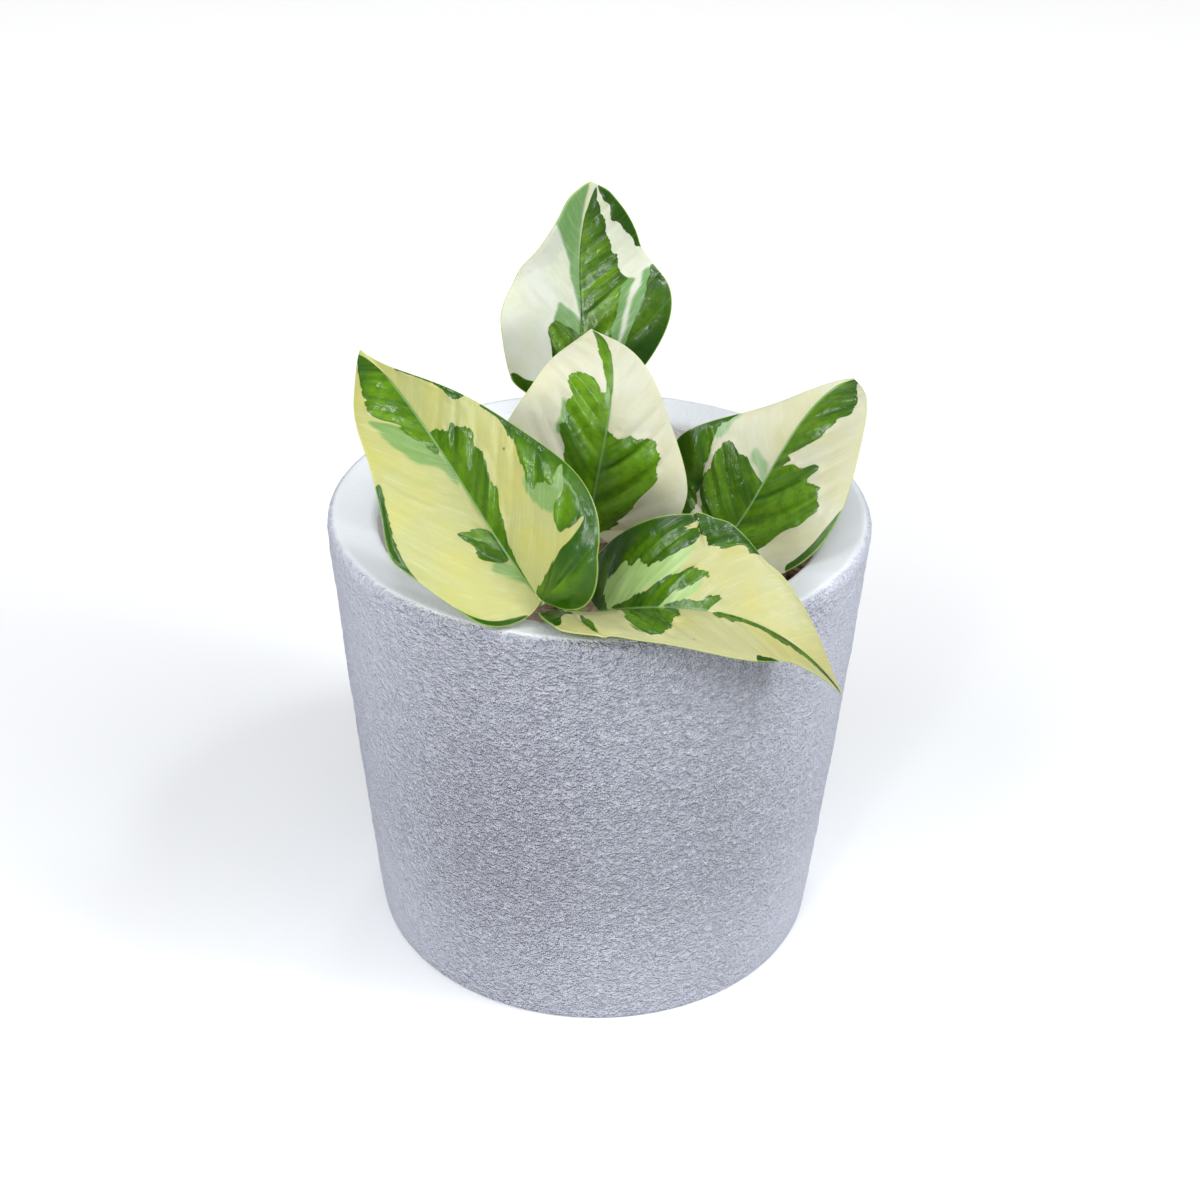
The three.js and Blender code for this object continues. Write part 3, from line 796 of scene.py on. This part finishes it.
def veinPart(x, y, side, spacing):  # 0 on a side vein, 1 midway between two
    run = veinRun(x, y)
    count = (run + 0.9 * np.sin(0.31 * run + side)) / spacing + 0.25 * side
    return 1 - np.abs(2 * (count - np.floor(count)) - 1)


def spacingOf(halfWidth):  # between side veins, closer together on a narrow half
    return blade["veinSpacing"] * (0.75 + 0.25 * halfWidth / 22)


def quilting(leaf, x, y, side, t, s, halfWidth):  # the blade rises between its side veins
    spacing = spacingOf(halfWidth)
    crown = veinPart(x, y, side, spacing)
    halfCrown = veinPart(x, y, side + 0.6, spacing / 2)
    reach = smoothStep(np.abs(y), 0.3, 4.0) * (1 - smoothStep(t, 0.7, 1.0))
    reach *= smoothStep(np.hypot(x, y), 2, 9) * (1 - 0.5 * smoothStep(s, 0.6, 1.0))
    return reach * (leaf["pucker"] * (1 - (1 - crown) ** 1.6) + blade["halfPucker"] * halfCrown)


def bumps(values, s):  # local changes along a margin: place, width and size in mm
    swells = (size * np.exp(-(((s - place) / width) ** 2)) for place, width, size in values)
    return sum(swells, np.zeros_like(s))


def creaseRise(creases, x, y):  # folded lines: from, to, step on the far side, height and width of the crest
    rise = np.zeros_like(x)
    for (ax, ay), (bx, by), step, crest, width in creases:
        dx, dy = bx - ax, by - ay
        length = math.hypot(dx, dy)
        along = ((x - ax) * dx + (y - ay) * dy) / length
        beside = ((x - ax) * dy - (y - ay) * dx) / length
        here = smoothStep(along, -2.5, 1.0) * (1 - smoothStep(along, length - 1, length + 2.5))
        far = smoothStep(beside, -width, width) * (1 - smoothStep(beside, 3 * width, 7 * width))
        rise += here * (step * far + crest * np.exp(-((beside / width) ** 2)))
    return rise


def bladePoints(leaf, u, s):
    length = midribLength(leaf)
    side, t = np.where(u < 0, -1.0, 1.0), np.abs(u)
    values = {name: np.zeros_like(s) for name in ("x", "y", "out", "rise")}
    for sign, half in ((-1, leaf["left"]), (1, leaf["right"])):
        on = side == sign
        ss, tt = s[on], t[on]
        edgeX, edgeY = edgeOf(half, length, ss)
        x = ss * length * (1 - tt) + edgeX * tt
        wide = edgeY * (1 + swing(half["ripple"], ss) / half["half"])
        y = tt * wide + tt**2 * bumps(half.get("wider", []), ss)
        at = np.clip(x / length, 0, 1)
        start = np.radians(half["fold"][0] + (half["fold"][1] - half["fold"][0]) * at)
        bend = math.radians(half["curl"])
        soft = np.sqrt(y**2 + blade["foldRound"] ** 2)
        rise = (np.cos(start) - np.cos(start + bend * soft)) / bend
        rise += swing(half["wave"], ss) * tt**2 * np.sqrt(np.sin(np.pi * np.clip(ss, 0, 1)))
        puckered = 0.3 + 0.7 * smoothStep(patchField(leaf["greens"], x, y * sign), -1.5, 1.0)
        rise += quilting(leaf, x, y, sign, tt, ss, half["half"]) * puckered
        rise += creaseRise(leaf.get("creases", []), x, y * sign)
        rise -= blade["grooveDepth"] * np.exp(-((y / blade["grooveWidth"]) ** 2)) * (1 - 0.6 * ss)
        rolled = blade["roll"] + bumps(half.get("rolls", []), ss)
        rise -= rolled * smoothStep(tt, 0.84, 1.0) ** 2 * np.sin(np.pi * ss) ** 0.5
        values["x"][on], values["y"][on] = x, y
        values["out"][on] = (np.sin(start + bend * y) - np.sin(start)) / bend
        values["rise"][on] = rise
    at = np.clip(values["x"] / length, 0, 1)
    along, across, up = axesAt(leaf, at)
    places = bezier(leaf["midrib"], at) + along * np.minimum(0, values["x"])[:, None]
    places += across * (side * values["out"])[:, None]
    places += up * (values["rise"] + blade["thickness"] / 2)[:, None]
    return places, values["x"], side * values["y"]


def roundedLoop(points, steps=5):  # a smooth closed line through the points
    points = np.asarray(points, float)
    before, after, beyond = (np.roll(points, shift, axis=0) for shift in (1, -1, -2))
    loop = []
    for t in np.arange(steps) / steps:
        loop.append(0.5 * (2 * points + (after - before) * t
                           + (2 * before - 5 * points + 4 * after - beyond) * t**2
                           + (3 * points - before - 3 * after + beyond) * t**3))
    return np.stack(loop, axis=1).reshape(-1, 2)


def insideBy(x, y, points):  # how far a point lies inside a patch, in mm, and negative outside it
    loop = roundedLoop(points)
    ends = np.roll(loop, -1, axis=0)
    inside = np.zeros(len(x), bool)
    nearest = np.full(len(x), 1e9)
    for (ax, ay), (bx, by) in zip(loop, ends):
        dx, dy = bx - ax, by - ay
        share = np.clip(((x - ax) * dx + (y - ay) * dy) / max(dx * dx + dy * dy, 1e-9), 0, 1)
        nearest = np.minimum(nearest, np.hypot(x - ax - share * dx, y - ay - share * dy))
        if ay != by:
            crosses = ((ay > y) != (by > y)) & (x < (bx - ax) * (y - ay) / (by - ay) + ax)
            inside ^= crosses
    return np.where(inside, nearest, -nearest)


def patchField(patches, x, y):  # how far inside any patch; each stays on its own side of the midrib
    field = np.full(len(x), -9.0)
    for patch in patches:
        side = -1 if sum(point[1] for point in patch) < 0 else 1
        field = np.maximum(field, np.minimum(insideBy(x, y, patch), side * y + blade["patchOverRib"]))
    return np.clip(field, -6, 6)


def bladePiece(name, leaf):
    b = blade
    piece, grid = gridPiece(name + "_blade", b["across"], b["along"])
    u = np.sign(grid[:, 0]) * (0.6 * np.abs(grid[:, 0]) + 0.4 * grid[:, 0] ** 2)
    s = (grid[:, 1] + 1) / 2
    places, x, y = bladePoints(leaf, u, s)
    moveVertices(piece, places * mm)

    length = midribLength(leaf)
    halfWidth = np.where(u < 0, edgeOf(leaf["left"], length, s)[1], edgeOf(leaf["right"], length, s)[1])
    fromEdge = (1 - np.abs(u)) * halfWidth
    crowns = [veinPart(x, y, sign, spacingOf(leaf[half]["half"]))
              for sign, half in ((-1, "left"), (1, "right"))]
    green = patchField(leaf["greens"], x, y)
    addAttribute(piece, "green", green)
    addAttribute(piece, "sage", patchField(leaf["sageAndSheenPatches"], x, y))
    addAttribute(piece, "edge", fromEdge)
    addAttribute(piece, "rib", np.abs(y))
    addAttribute(piece, "crown", np.where(u < 0, *crowns))
    uv = piece.data.uv_layers[0]
    uv.name = "veins"  # 1 = 100 mm: along the midrib, and out from it
    corner = np.empty(len(piece.data.loops), int)
    piece.data.loops.foreach_get("vertex_index", corner)
    uv.data.foreach_set("uv", np.stack([0.3 + veinRun(x, y) / 100, 0.5 + y / 100], axis=1)[corner].ravel())

    ends = smoothStep(s, 0, 0.02) * (1 - smoothStep(s, 0.93, 1.0))
    inner = np.clip(fromEdge / b["edgeTaper"], 0, 1) * ends
    thick = b["edgeThickness"] + (b["thickness"] - b["edgeThickness"]) * inner
    thick = thick + b["ribDepth"] * np.exp(-((y / b["ribWidth"]) ** 2)) * (1 - 0.8 * s) * ends
    thick *= 0.4 + 0.6 * ends
    most = float(thick.max())
    addGroup(piece, "thick", thick / most)
    loose = smoothStep(np.abs(y), 0.6, 3.0) * smoothStep(fromEdge, 0.3, 2.0) * ends
    addGroup(piece, "wrinkled", loose * (0.5 + 0.5 * smoothStep(green, -1.5, 1.0)))  # cream is smoother
    piece.data.materials.append(bladeMaterial(name, leaf, upper=True))
    piece.data.materials.append(bladeMaterial(name, leaf, upper=False))
    editWhole(piece, bpy.ops.mesh.remove_doubles, threshold=1e-6)
    roughen(piece, "wrinkled", "wrinkles", b["wrinkleSize"], 2 * b["wrinkle"])
    applyModifier(piece, "SOLIDIFY", thickness=most * mm, offset=-1, vertex_group="thick",
                  material_offset=1, material_offset_rim=0)
    piece.vertex_groups.clear()
    shadeSmooth(piece, 50)
    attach(piece, "root")
    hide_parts(name)


bladeLook = {
    "creamGrain": colour(236, 236, 214),
    "creamVein": colour(190, 198, 120),
    "fleck": colour(168, 194, 58),
    "spot": colour(122, 96, 58),
    "greenStreak": colour(122, 160, 4),
    "greenVein": colour(96, 138, 44),
    "sageStreak": colour(112, 146, 72),
    "sageGrain": colour(176, 200, 160),
    "ribs": [colour(208, 214, 140), colour(146, 178, 112), colour(138, 172, 108)],  # on cream, sage and green
    "margins": [colour(206, 214, 130), colour(172, 200, 96)],  # on cream and green
    "underside": colour(196, 208, 160),
    "undersideShare": 0.35,
    "teeth": [(3.4, 0.6), (1.3, 0.28)],  # size in mm, and height
    "teethMiddle": 0.62,
    "wobble": 0.012,  # this and the next are in units of the veins' map
    "ribFade": 0.03,
    "subsurface": {"Subsurface Weight": 0.15, "Subsurface Radius": (0.6, 1.0, 0.2),
                   "Subsurface Scale": 0.6 * mm},
    "smoothest": (0.28, 0.17),  # roughness, gloss and bump on cream and green
    "gloss": (0.3, 0.42),
    "bumpStrength": (0.42, 1.0),
    "undersideRoughness": 0.42,
    "grainRoughness": 0.14,
    "bumpDistance": 0.3,
}


def scallops(tree, run, size, wobble):  # rounded teeth with sharp clefts between them
    along = times(tree, maths(tree, "ADD", run, wobble), 100 / size)
    cells = put(tree, "ShaderNodeTexVoronoi", {"W": along, "Scale": 1.0, "Randomness": 0.75},
                voronoi_dimensions="1D", feature="F1")
    away = cells.outputs["Distance"]
    return timesPlus(tree, times(tree, away, away), -4.0, 1.0, clamp=True)


def bladeFields(tree):  # values that the blade's colours and relief are worked out from
    veins = put(tree, "ShaderNodeUVMap", uv_map="veins").outputs[0]

    def byVein(across, along, detail=2, roughness=0.5):  # noise with features of this size in mm
        return noise(tree, stretched(tree, veins, (100 / across, 100 / along, 1)), 1, detail, roughness)

    at = {part: readAttribute(tree, part) for part in ("green", "sage", "edge", "rib", "crown")}
    at.update(
        where=objectPlace(tree),
        run=split(tree, veins)[0],
        drift=byVein(3.5, 9),
        fine=byVein(0.7, 6, 3, 0.6),
        streaks=byVein(2.0, 12, 3, 0.55),
        broad=byVein(6, 26),
        flecks=byVein(1.0, 4.5, 2, 0.6),
        crinkle=byVein(1.3, 4, 2, 0.6),
    )
    return at


def addPatches(tree, leaf, at):  # they end in rounded teeth across the side veins
    look = bladeLook
    wobble = maths(tree, "SUBTRACT", noise(tree, at["where"], 260, 2), 0.5)
    wobble = times(tree, wobble, look["wobble"])
    teeth = maths(tree, "SUBTRACT", at["drift"], 0.5 + look["teethMiddle"])
    for size, height in look["teeth"]:
        teeth = timesPlus(tree, scallops(tree, at["run"], size, wobble), height, teeth)
    reach = times(tree, fade(tree, at["rib"], 0.3, 2.6),
                  fade(tree, at["edge"], 1.0, 4.0, 0.1, leaf["teeth"]))
    jag = times(tree, teeth, reach)
    at["greenBy"] = maths(tree, "ADD", at["green"], jag)
    at["isGreen"] = fade(tree, at["greenBy"], -0.1, 0.1)
    at["isSage"] = fade(tree, timesPlus(tree, jag, 0.8, at["sage"]), -0.5, 0.5)


def creamTone(tree, leaf, at):
    look = bladeLook
    clouds = noise(tree, at["where"], 90, 2)
    tone = layer(tree, colour(*leaf["cream"]), colour(*leaf["warm"]), clouds, 0.35, 0.7)
    tone = layer(tree, tone, look["creamGrain"], at["fine"], 0.5, 0.72, 0, 0.12)
    tone = layer(tree, tone, look["creamVein"], at["crown"], 0.0, 0.1, 0.14, 0)
    sparse = fade(tree, noise(tree, at["where"], 70, 1), 0.52, 0.66)
    flecks = times(tree, fade(tree, at["flecks"], 0.62, 0.72, 0, 0.5), sparse)
    tone = mixColours(tree, flecks, tone, look["fleck"])
    spots = specks(tree, at["where"], 150, 0.03, 0.075, 0.91)
    return mixColours(tree, times(tree, spots, 0.75), tone, look["spot"])


def greenTone(tree, leaf, at):
    look, deep = bladeLook, colour(*leaf["deep"])
    tone = layer(tree, deep, colour(*leaf["green"]), at["broad"], 0.35, 0.65)
    tone = layer(tree, tone, look["greenStreak"], at["streaks"], 0.42, 0.7, 0, 0.3)
    tone = layer(tree, tone, deep, noise(tree, at["where"], 420, 4, 0.65), 0.36, 0.54, 0.4, 0)
    tone = layer(tree, tone, deep, at["fine"], 0.3, 0.5, 0.15, 0)
    # greens darken towards the margin: partly the leaf's own deeper green, partly painted shade on margins
    # that roll under
    tone = layer(tree, tone, deep, at["edge"], 0.8, leaf["dark"], 0.8, 0)
    tone = layer(tree, tone, deep, at["greenBy"], 0.1, 0.7, 0.3, 0)
    return layer(tree, tone, look["greenVein"], at["crown"], 0.0, 0.1, 0.3, 0)


# partly the leaf's own grey-green, partly painted sheen
def sageTone(tree, leaf, at):
    tone = layer(tree, colour(*leaf["sage"]), bladeLook["sageStreak"], at["streaks"], 0.3, 0.75, 0, 0.5)
    return layer(tree, tone, bladeLook["sageGrain"], at["fine"], 0.45, 0.7, 0, 0.3)


def bladeMaterial(name, leaf, upper):
    look = bladeLook
    material, tree, shader = newMaterial(name + (" upper side" if upper else " underside"))
    at = bladeFields(tree)
    addPatches(tree, leaf, at)
    tone = mixColours(tree, at["isSage"], creamTone(tree, leaf, at), sageTone(tree, leaf, at))
    tone = mixColours(tree, at["isGreen"], tone, greenTone(tree, leaf, at))

    ribTo = 0.3 + leaf["ribTo"] / 100  # from here on to the tip the green hides the rib
    covered = maths(tree, "MAXIMUM", at["isGreen"], at["isSage"])
    beyond = fade(tree, at["run"], ribTo - look["ribFade"], ribTo + look["ribFade"])
    bare = maths(tree, "SUBTRACT", 1.0, times(tree, covered, beyond))
    onRib = times(tree, fade(tree, at["rib"], 0.12, 0.42, 0.6, 0), bare)
    creamRib, sageRib, greenRib = look["ribs"]
    ribTone = mixColours(tree, at["isGreen"], mixColours(tree, at["isSage"], creamRib, sageRib), greenRib)
    tone = mixColours(tree, onRib, tone, ribTone)
    margin = mixColours(tree, at["isGreen"], *look["margins"])
    tone = layer(tree, tone, margin, at["edge"], 0.08, 0.28, 0.6, 0)
    if not upper:
        tone = mixColours(tree, look["undersideShare"], tone, look["underside"])

    def byGreen(values):  # the first on cream, the second on green
        return fade(tree, at["greenBy"], -0.4, 0.4, *values)

    grain = noise(tree, at["where"], 1100, 2)
    smoothest = byGreen(look["smoothest"]) if upper else look["undersideRoughness"]
    feedAll(tree, shader, {
        "Base Color": tone,
        "Roughness": timesPlus(tree, grain, look["grainRoughness"], smoothest),
        "Specular IOR Level": byGreen(look["gloss"]),
        **look["subsurface"],
    })
    relief = times(tree, noise(tree, at["where"], 620, 2), 0.22)
    relief = timesPlus(tree, noise(tree, at["where"], 2200, 2), 0.07, relief)
    relief = timesPlus(tree, at["crinkle"], 0.4, relief)
    addBump(tree, shader, relief, look["bumpDistance"], byGreen(look["bumpStrength"]))
    return material


for leafName, leafData in leaves.items():
    bladePiece(leafName, leafData)
    print(leafName + ": done")


# Potting mix

mix = {
    "level": 98,
    "mound": 1.5,
    "clodHeight": 0.7,
    "clodLengths": (20, 23, 9),
    "clodFade": 0.25,
    "edge": 52.3,  # inside the mouth, where the mix meets the wall
    "bottom": 10.4,
    "bottomEdge": 47.6,
    "cells": 230,
    "crumbs": [("fine crumbs", 1.6, 0.9), ("crumbs", 4.5, 1.3)],  # texture, size and height in mm
    "bitsInside": 3,
    "bitShape": ((0.35, 0.8), (0.2, 0.5)),  # widths and heights of flat bits, as shares of their length
    "bitRoughness": (0.75, 1.2),
    "bitLift": 0.3,
}
mixKinds = {
    "coir": {"count": 210, "sizes": (1.2, 3.4), "flat": True,
             "light": colour(150, 118, 88), "dark": colour(112, 82, 58)},
    "bark": {"count": 120, "sizes": (1.6, 4.2), "flat": True,
             "light": colour(126, 96, 72), "dark": colour(84, 60, 44)},
    "perlite": {"count": 90, "sizes": (0.9, 2.0), "flat": False,
                "light": colour(226, 220, 208), "dark": colour(196, 188, 174)},
}


def mixTop(x, y):  # height of the mix in mm, before its crumbs
    a, b, c = mix["clodLengths"]
    inside = 1 - np.hypot(x, y) / mix["edge"]
    wide = 2 * np.pi * np.asarray(x) / a, 2 * np.pi * np.asarray(y) / b
    slanted = 2 * np.pi * (np.asarray(x) / 2 + y) / c
    clods = mix["clodHeight"] * (np.sin(wide[0]) * np.cos(wide[1]) + np.sin(slanted) / 2)
    return mix["level"] + mix["mound"] * inside + clods * np.clip(inside / mix["clodFade"], 0, 1)


def mixMaterial(name, light, dark):
    material, tree, shader = newMaterial(name)
    where = objectPlace(tree)
    broad, fine = noise(tree, where, 180, 3), noise(tree, where, 1300, 3, 0.6)
    tone = layer(tree, dark, light, timesPlus(tree, fine, 0.6, broad), 0.55, 1.05)
    feedAll(tree, shader, {"Base Color": tone, "Roughness": 0.9, "Specular IOR Level": 0.25})
    addBump(tree, shader, fine, 0.25, 0.8)
    return material


def mixPiece():
    bed, grid = gridPiece("potting_mix_bed", mix["cells"], mix["cells"])
    x = mix["edge"] * grid[:, 0] * np.sqrt(1 - grid[:, 1] ** 2 / 2)  # the square grid becomes a disc
    y = mix["edge"] * grid[:, 1] * np.sqrt(1 - grid[:, 0] ** 2 / 2)
    moveVertices(bed, np.stack([x, y, mixTop(x, y)], axis=1) * mm)
    addGroup(bed, "crumbly", smoothStep(1 - np.hypot(x, y) / mix["edge"], 0.0, 0.05))
    for name, size, height in mix["crumbs"]:
        roughen(bed, "crumbly", name, size, height)
    bed.vertex_groups.clear()
    makeActive(bed)
    bpy.ops.object.mode_set(mode="EDIT")
    bpy.ops.mesh.select_all(action="SELECT")
    bpy.ops.mesh.region_to_loop()
    share = mix["bottomEdge"] / mix["edge"]
    bpy.ops.mesh.extrude_edges_move()
    bpy.ops.transform.resize(value=(share, share, 0), center_override=(0, 0, mix["bottom"] * mm))
    bpy.ops.mesh.edge_face_add()
    editWhole(bed, bpy.ops.mesh.normals_make_consistent, inside=False)
    bpy.ops.object.shade_smooth()
    bed.data.materials.append(mixMaterial("potting mix", colour(168, 146, 128), colour(98, 76, 62)))
    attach(bed, "root")
    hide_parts("potting_mix")


def mixBits():
    chance = random.Random(5)
    loose = []
    for name, kind in mixKinds.items():
        material = mixMaterial(name, kind["light"], kind["dark"])
        deselectAll()
        bpy.ops.mesh.primitive_ico_sphere_add(subdivisions=2, radius=0.5 * mm)
        pattern = bpy.context.object
        pattern.data.materials.append(material)
        for _ in range(kind["count"]):
            bit = pattern.copy()
            bit.data = pattern.data.copy()
            bpy.context.collection.objects.link(bit)
            spread = math.sqrt(chance.random()) * (mix["edge"] - mix["bitsInside"])
            turn = chance.uniform(0, 2 * math.pi)
            x, y = spread * math.cos(turn), spread * math.sin(turn)
            size = chance.uniform(*kind["sizes"])
            shape = [1, 0.9, 0.8]
            if kind["flat"]:
                shape = [1] + [chance.uniform(*limits) for limits in mix["bitShape"]]
            for vertex in bit.data.vertices:
                vertex.co = vertex.co * chance.uniform(*mix["bitRoughness"])
            bit.scale = [size * s for s in shape]
            bit.rotation_euler = [chance.uniform(*limits) for limits in ((-0.5, 0.5), (-0.5, 0.5), (0, 6.3))]
            height = float(mixTop(x, y)) + size * shape[2] * mix["bitLift"]
            bit.location = (x * mm, y * mm, height * mm)
            loose.append(bit)
        bpy.data.objects.remove(pattern)
    deselectAll()
    for bit in loose:
        bit.select_set(True)
    bpy.context.view_layer.objects.active = loose[0]
    bpy.ops.object.join()
    bits = bpy.context.object
    setPlace(bits, "potting_mix_bits")
    shadeSmooth(bits, 35)
    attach(bits, "root")
    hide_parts("potting_mix")


mixPiece()
mixBits()
print("potting mix: done")


# Vines and petioles

stem = {
    "foot": 72,
    "radius": 2.2,
    "ridges": 0.04,
    "ridgeCount": 5,
    "nodeSwell": 0.5,
    "nodeLength": 1.6,
    "scarDepth": 0.12,  # the ring under each node
    "scarBelow": 1.9,
    "scarLength": 0.35,
    "tipTaper": 0.75,
    "sides": 28,
    "cuts": 110,
    "petioleRadius": 1.15,
    "petioleSides": 20,
    "petioleCuts": 70,
    "endGap": 0.2,
    # depths are shares of the radius, places and lengths shares of the petiole, the groove's width radians
    "groove": 0.3,
    "grooveWidth": 0.45,
    "sheath": 0.5,
    "sheathEnd": (0.12, 0.4),
    "elbow": 0.28,
    "elbowAt": 0.9,
    "elbowLength": 0.07,
}
vines = {
    "stems_front": {"foot": (-6, -30), "top": 105, "petioles": {
        "leaf_left": {"height": 102, "leave": (-1, 1, 9), "reach": 3, "lean": 0.2},
        "leaf_front": {"height": 99.5, "leave": (1, -5, 1), "reach": 5, "lean": 0},
    }},
    "stems_rear": {"foot": (8, 0), "top": 114, "petioles": {
        "leaf_right": {"height": 100.5, "leave": (6, 0, 3), "reach": 7, "lean": 0.3},
        "leaf_centre": {"height": 103, "leave": (-3, 0, 4), "reach": 6, "lean": 0.7},
        "leaf_back": {"height": 112, "leave": (0, 4, 6), "reach": 10, "lean": 0.9},
    }},
}


def tube(name, sides, cuts):  # a closed unit tube: angle and share of its length are read back from it
    deselectAll()
    bpy.ops.mesh.primitive_cylinder_add(vertices=sides, radius=1, depth=1, location=(0, 0, 0.5))
    piece = bpy.context.object
    setPlace(piece, name)
    bpy.ops.object.mode_set(mode="EDIT")
    bpy.ops.mesh.select_mode(type="EDGE")
    bpy.ops.mesh.select_all(action="DESELECT")
    bpy.ops.object.mode_set(mode="OBJECT")
    for edge in piece.data.edges:
        low, high = (piece.data.vertices[v].co.z for v in edge.vertices)
        edge.select = abs(low - high) > 0.5
    bpy.ops.object.mode_set(mode="EDIT")
    bpy.ops.mesh.subdivide(number_cuts=cuts)
    bpy.ops.object.mode_set(mode="OBJECT")
    places = coordinates(piece)
    return piece, np.arctan2(places[:, 1], places[:, 0]), np.clip(places[:, 2], 0, 1)


def vinePiece(name, vine):
    piece, angle, t = tube(name + "_vine", stem["sides"], stem["cuts"])
    z = stem["foot"] + (vine["top"] - stem["foot"]) * t
    radius = stem["radius"] * (1 - stem["ridges"] * np.cos(stem["ridgeCount"] * angle))
    for petiole in vine["petioles"].values():
        above = z - petiole["height"]
        radius += stem["nodeSwell"] * np.exp(-((above / stem["nodeLength"]) ** 2))
        radius -= stem["scarDepth"] * np.exp(-(((above + stem["scarBelow"]) / stem["scarLength"]) ** 2))
    radius *= 1 - stem["tipTaper"] * smoothStep(z, vine["top"] - 1.5, vine["top"] + 1.0) ** 2
    x, y = vine["foot"]
    moveVertices(piece, np.stack([x + radius * np.cos(angle), y + radius * np.sin(angle), z], axis=1) * mm)
    return piece


def petiolePiece(leafName, vine, petiole):
    leaf = leaves[leafName]
    piece, angle, t = tube(leafName + "_petiole", stem["petioleSides"], stem["petioleCuts"])
    along, across, up = (axis[0] for axis in axesAt(leaf, np.array([0.0])))
    lean = petiole["lean"]
    towards = unit(up * (1 - lean / 2) + along * lean)
    upper = unit(up * lean - along * (1 - lean / 2))  # the grooved side
    start = np.array([*vine["foot"], petiole["height"]], float)
    end = np.array(leaf["midrib"][0], float) - towards * stem["endGap"]
    path = [start, start + np.array(petiole["leave"]), end - towards * petiole["reach"], end]
    places, slope = bezier(path, t), unit(bezierSlope(path, t))
    side = unit(np.cross(slope, upper))
    top = np.cross(side, slope)
    elbow = stem["elbow"] * np.exp(-(((t - stem["elbowAt"]) / stem["elbowLength"]) ** 2))
    radius = stem["petioleRadius"] * (1 + elbow)
    radius *= 1 + stem["sheath"] * (1 - smoothStep(t, *stem["sheathEnd"]))
    radius *= 1 - stem["groove"] * np.exp(-((angle / stem["grooveWidth"]) ** 2)) * smoothStep(t, 0.02, 0.1)
    places += radius[:, None] * (top * np.cos(angle)[:, None] + side * np.sin(angle)[:, None])
    moveVertices(piece, places * mm)
    return piece


stemLook = {
    "green": colour(120, 158, 70),
    "streak": colour(176, 196, 116),
    "patch": colour(216, 220, 164),
    "foot": colour(150, 128, 88),  # up to where the mix hides the stems
    "footHeights": (96, 101),
    "roughness": 0.42,
    "subsurface": {"Subsurface Weight": 0.2, "Subsurface Radius": (0.6, 1.0, 0.3),
                   "Subsurface Scale": 0.6 * mm},
}


def stemMaterial():
    look = stemLook
    material, tree, shader = newMaterial("vine and petioles")
    where = objectPlace(tree)
    streaks = noise(tree, stretched(tree, where, (1, 1, 0.15)), 700, 3)
    tone = layer(tree, look["green"], look["streak"], streaks, 0.35, 0.7)
    tone = layer(tree, tone, look["patch"], noise(tree, where, 130, 2), 0.5, 0.62, 0, 0.7)
    height = maths(tree, "DIVIDE", split(tree, where)[2], mm)
    tone = layer(tree, tone, look["foot"], height, *look["footHeights"], 0.8, 0)
    feedAll(tree, shader, {"Base Color": tone, "Roughness": look["roughness"], **look["subsurface"]})
    addBump(tree, shader, streaks, 0.1, 0.5)
    return material


stemSkin = stemMaterial()
for vineName, vineData in vines.items():
    parts = [vinePiece(vineName, vineData)]
    parts += [petiolePiece(leafName, vineData, petiole) for leafName, petiole in vineData["petioles"].items()]
    for part in parts:
        part.data.materials.append(stemSkin)
        editWhole(part, bpy.ops.mesh.normals_make_consistent, inside=False)
        shadeSmooth(part, 50)
        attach(part, "root")
        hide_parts(vineName)
    print(vineName + ": done")
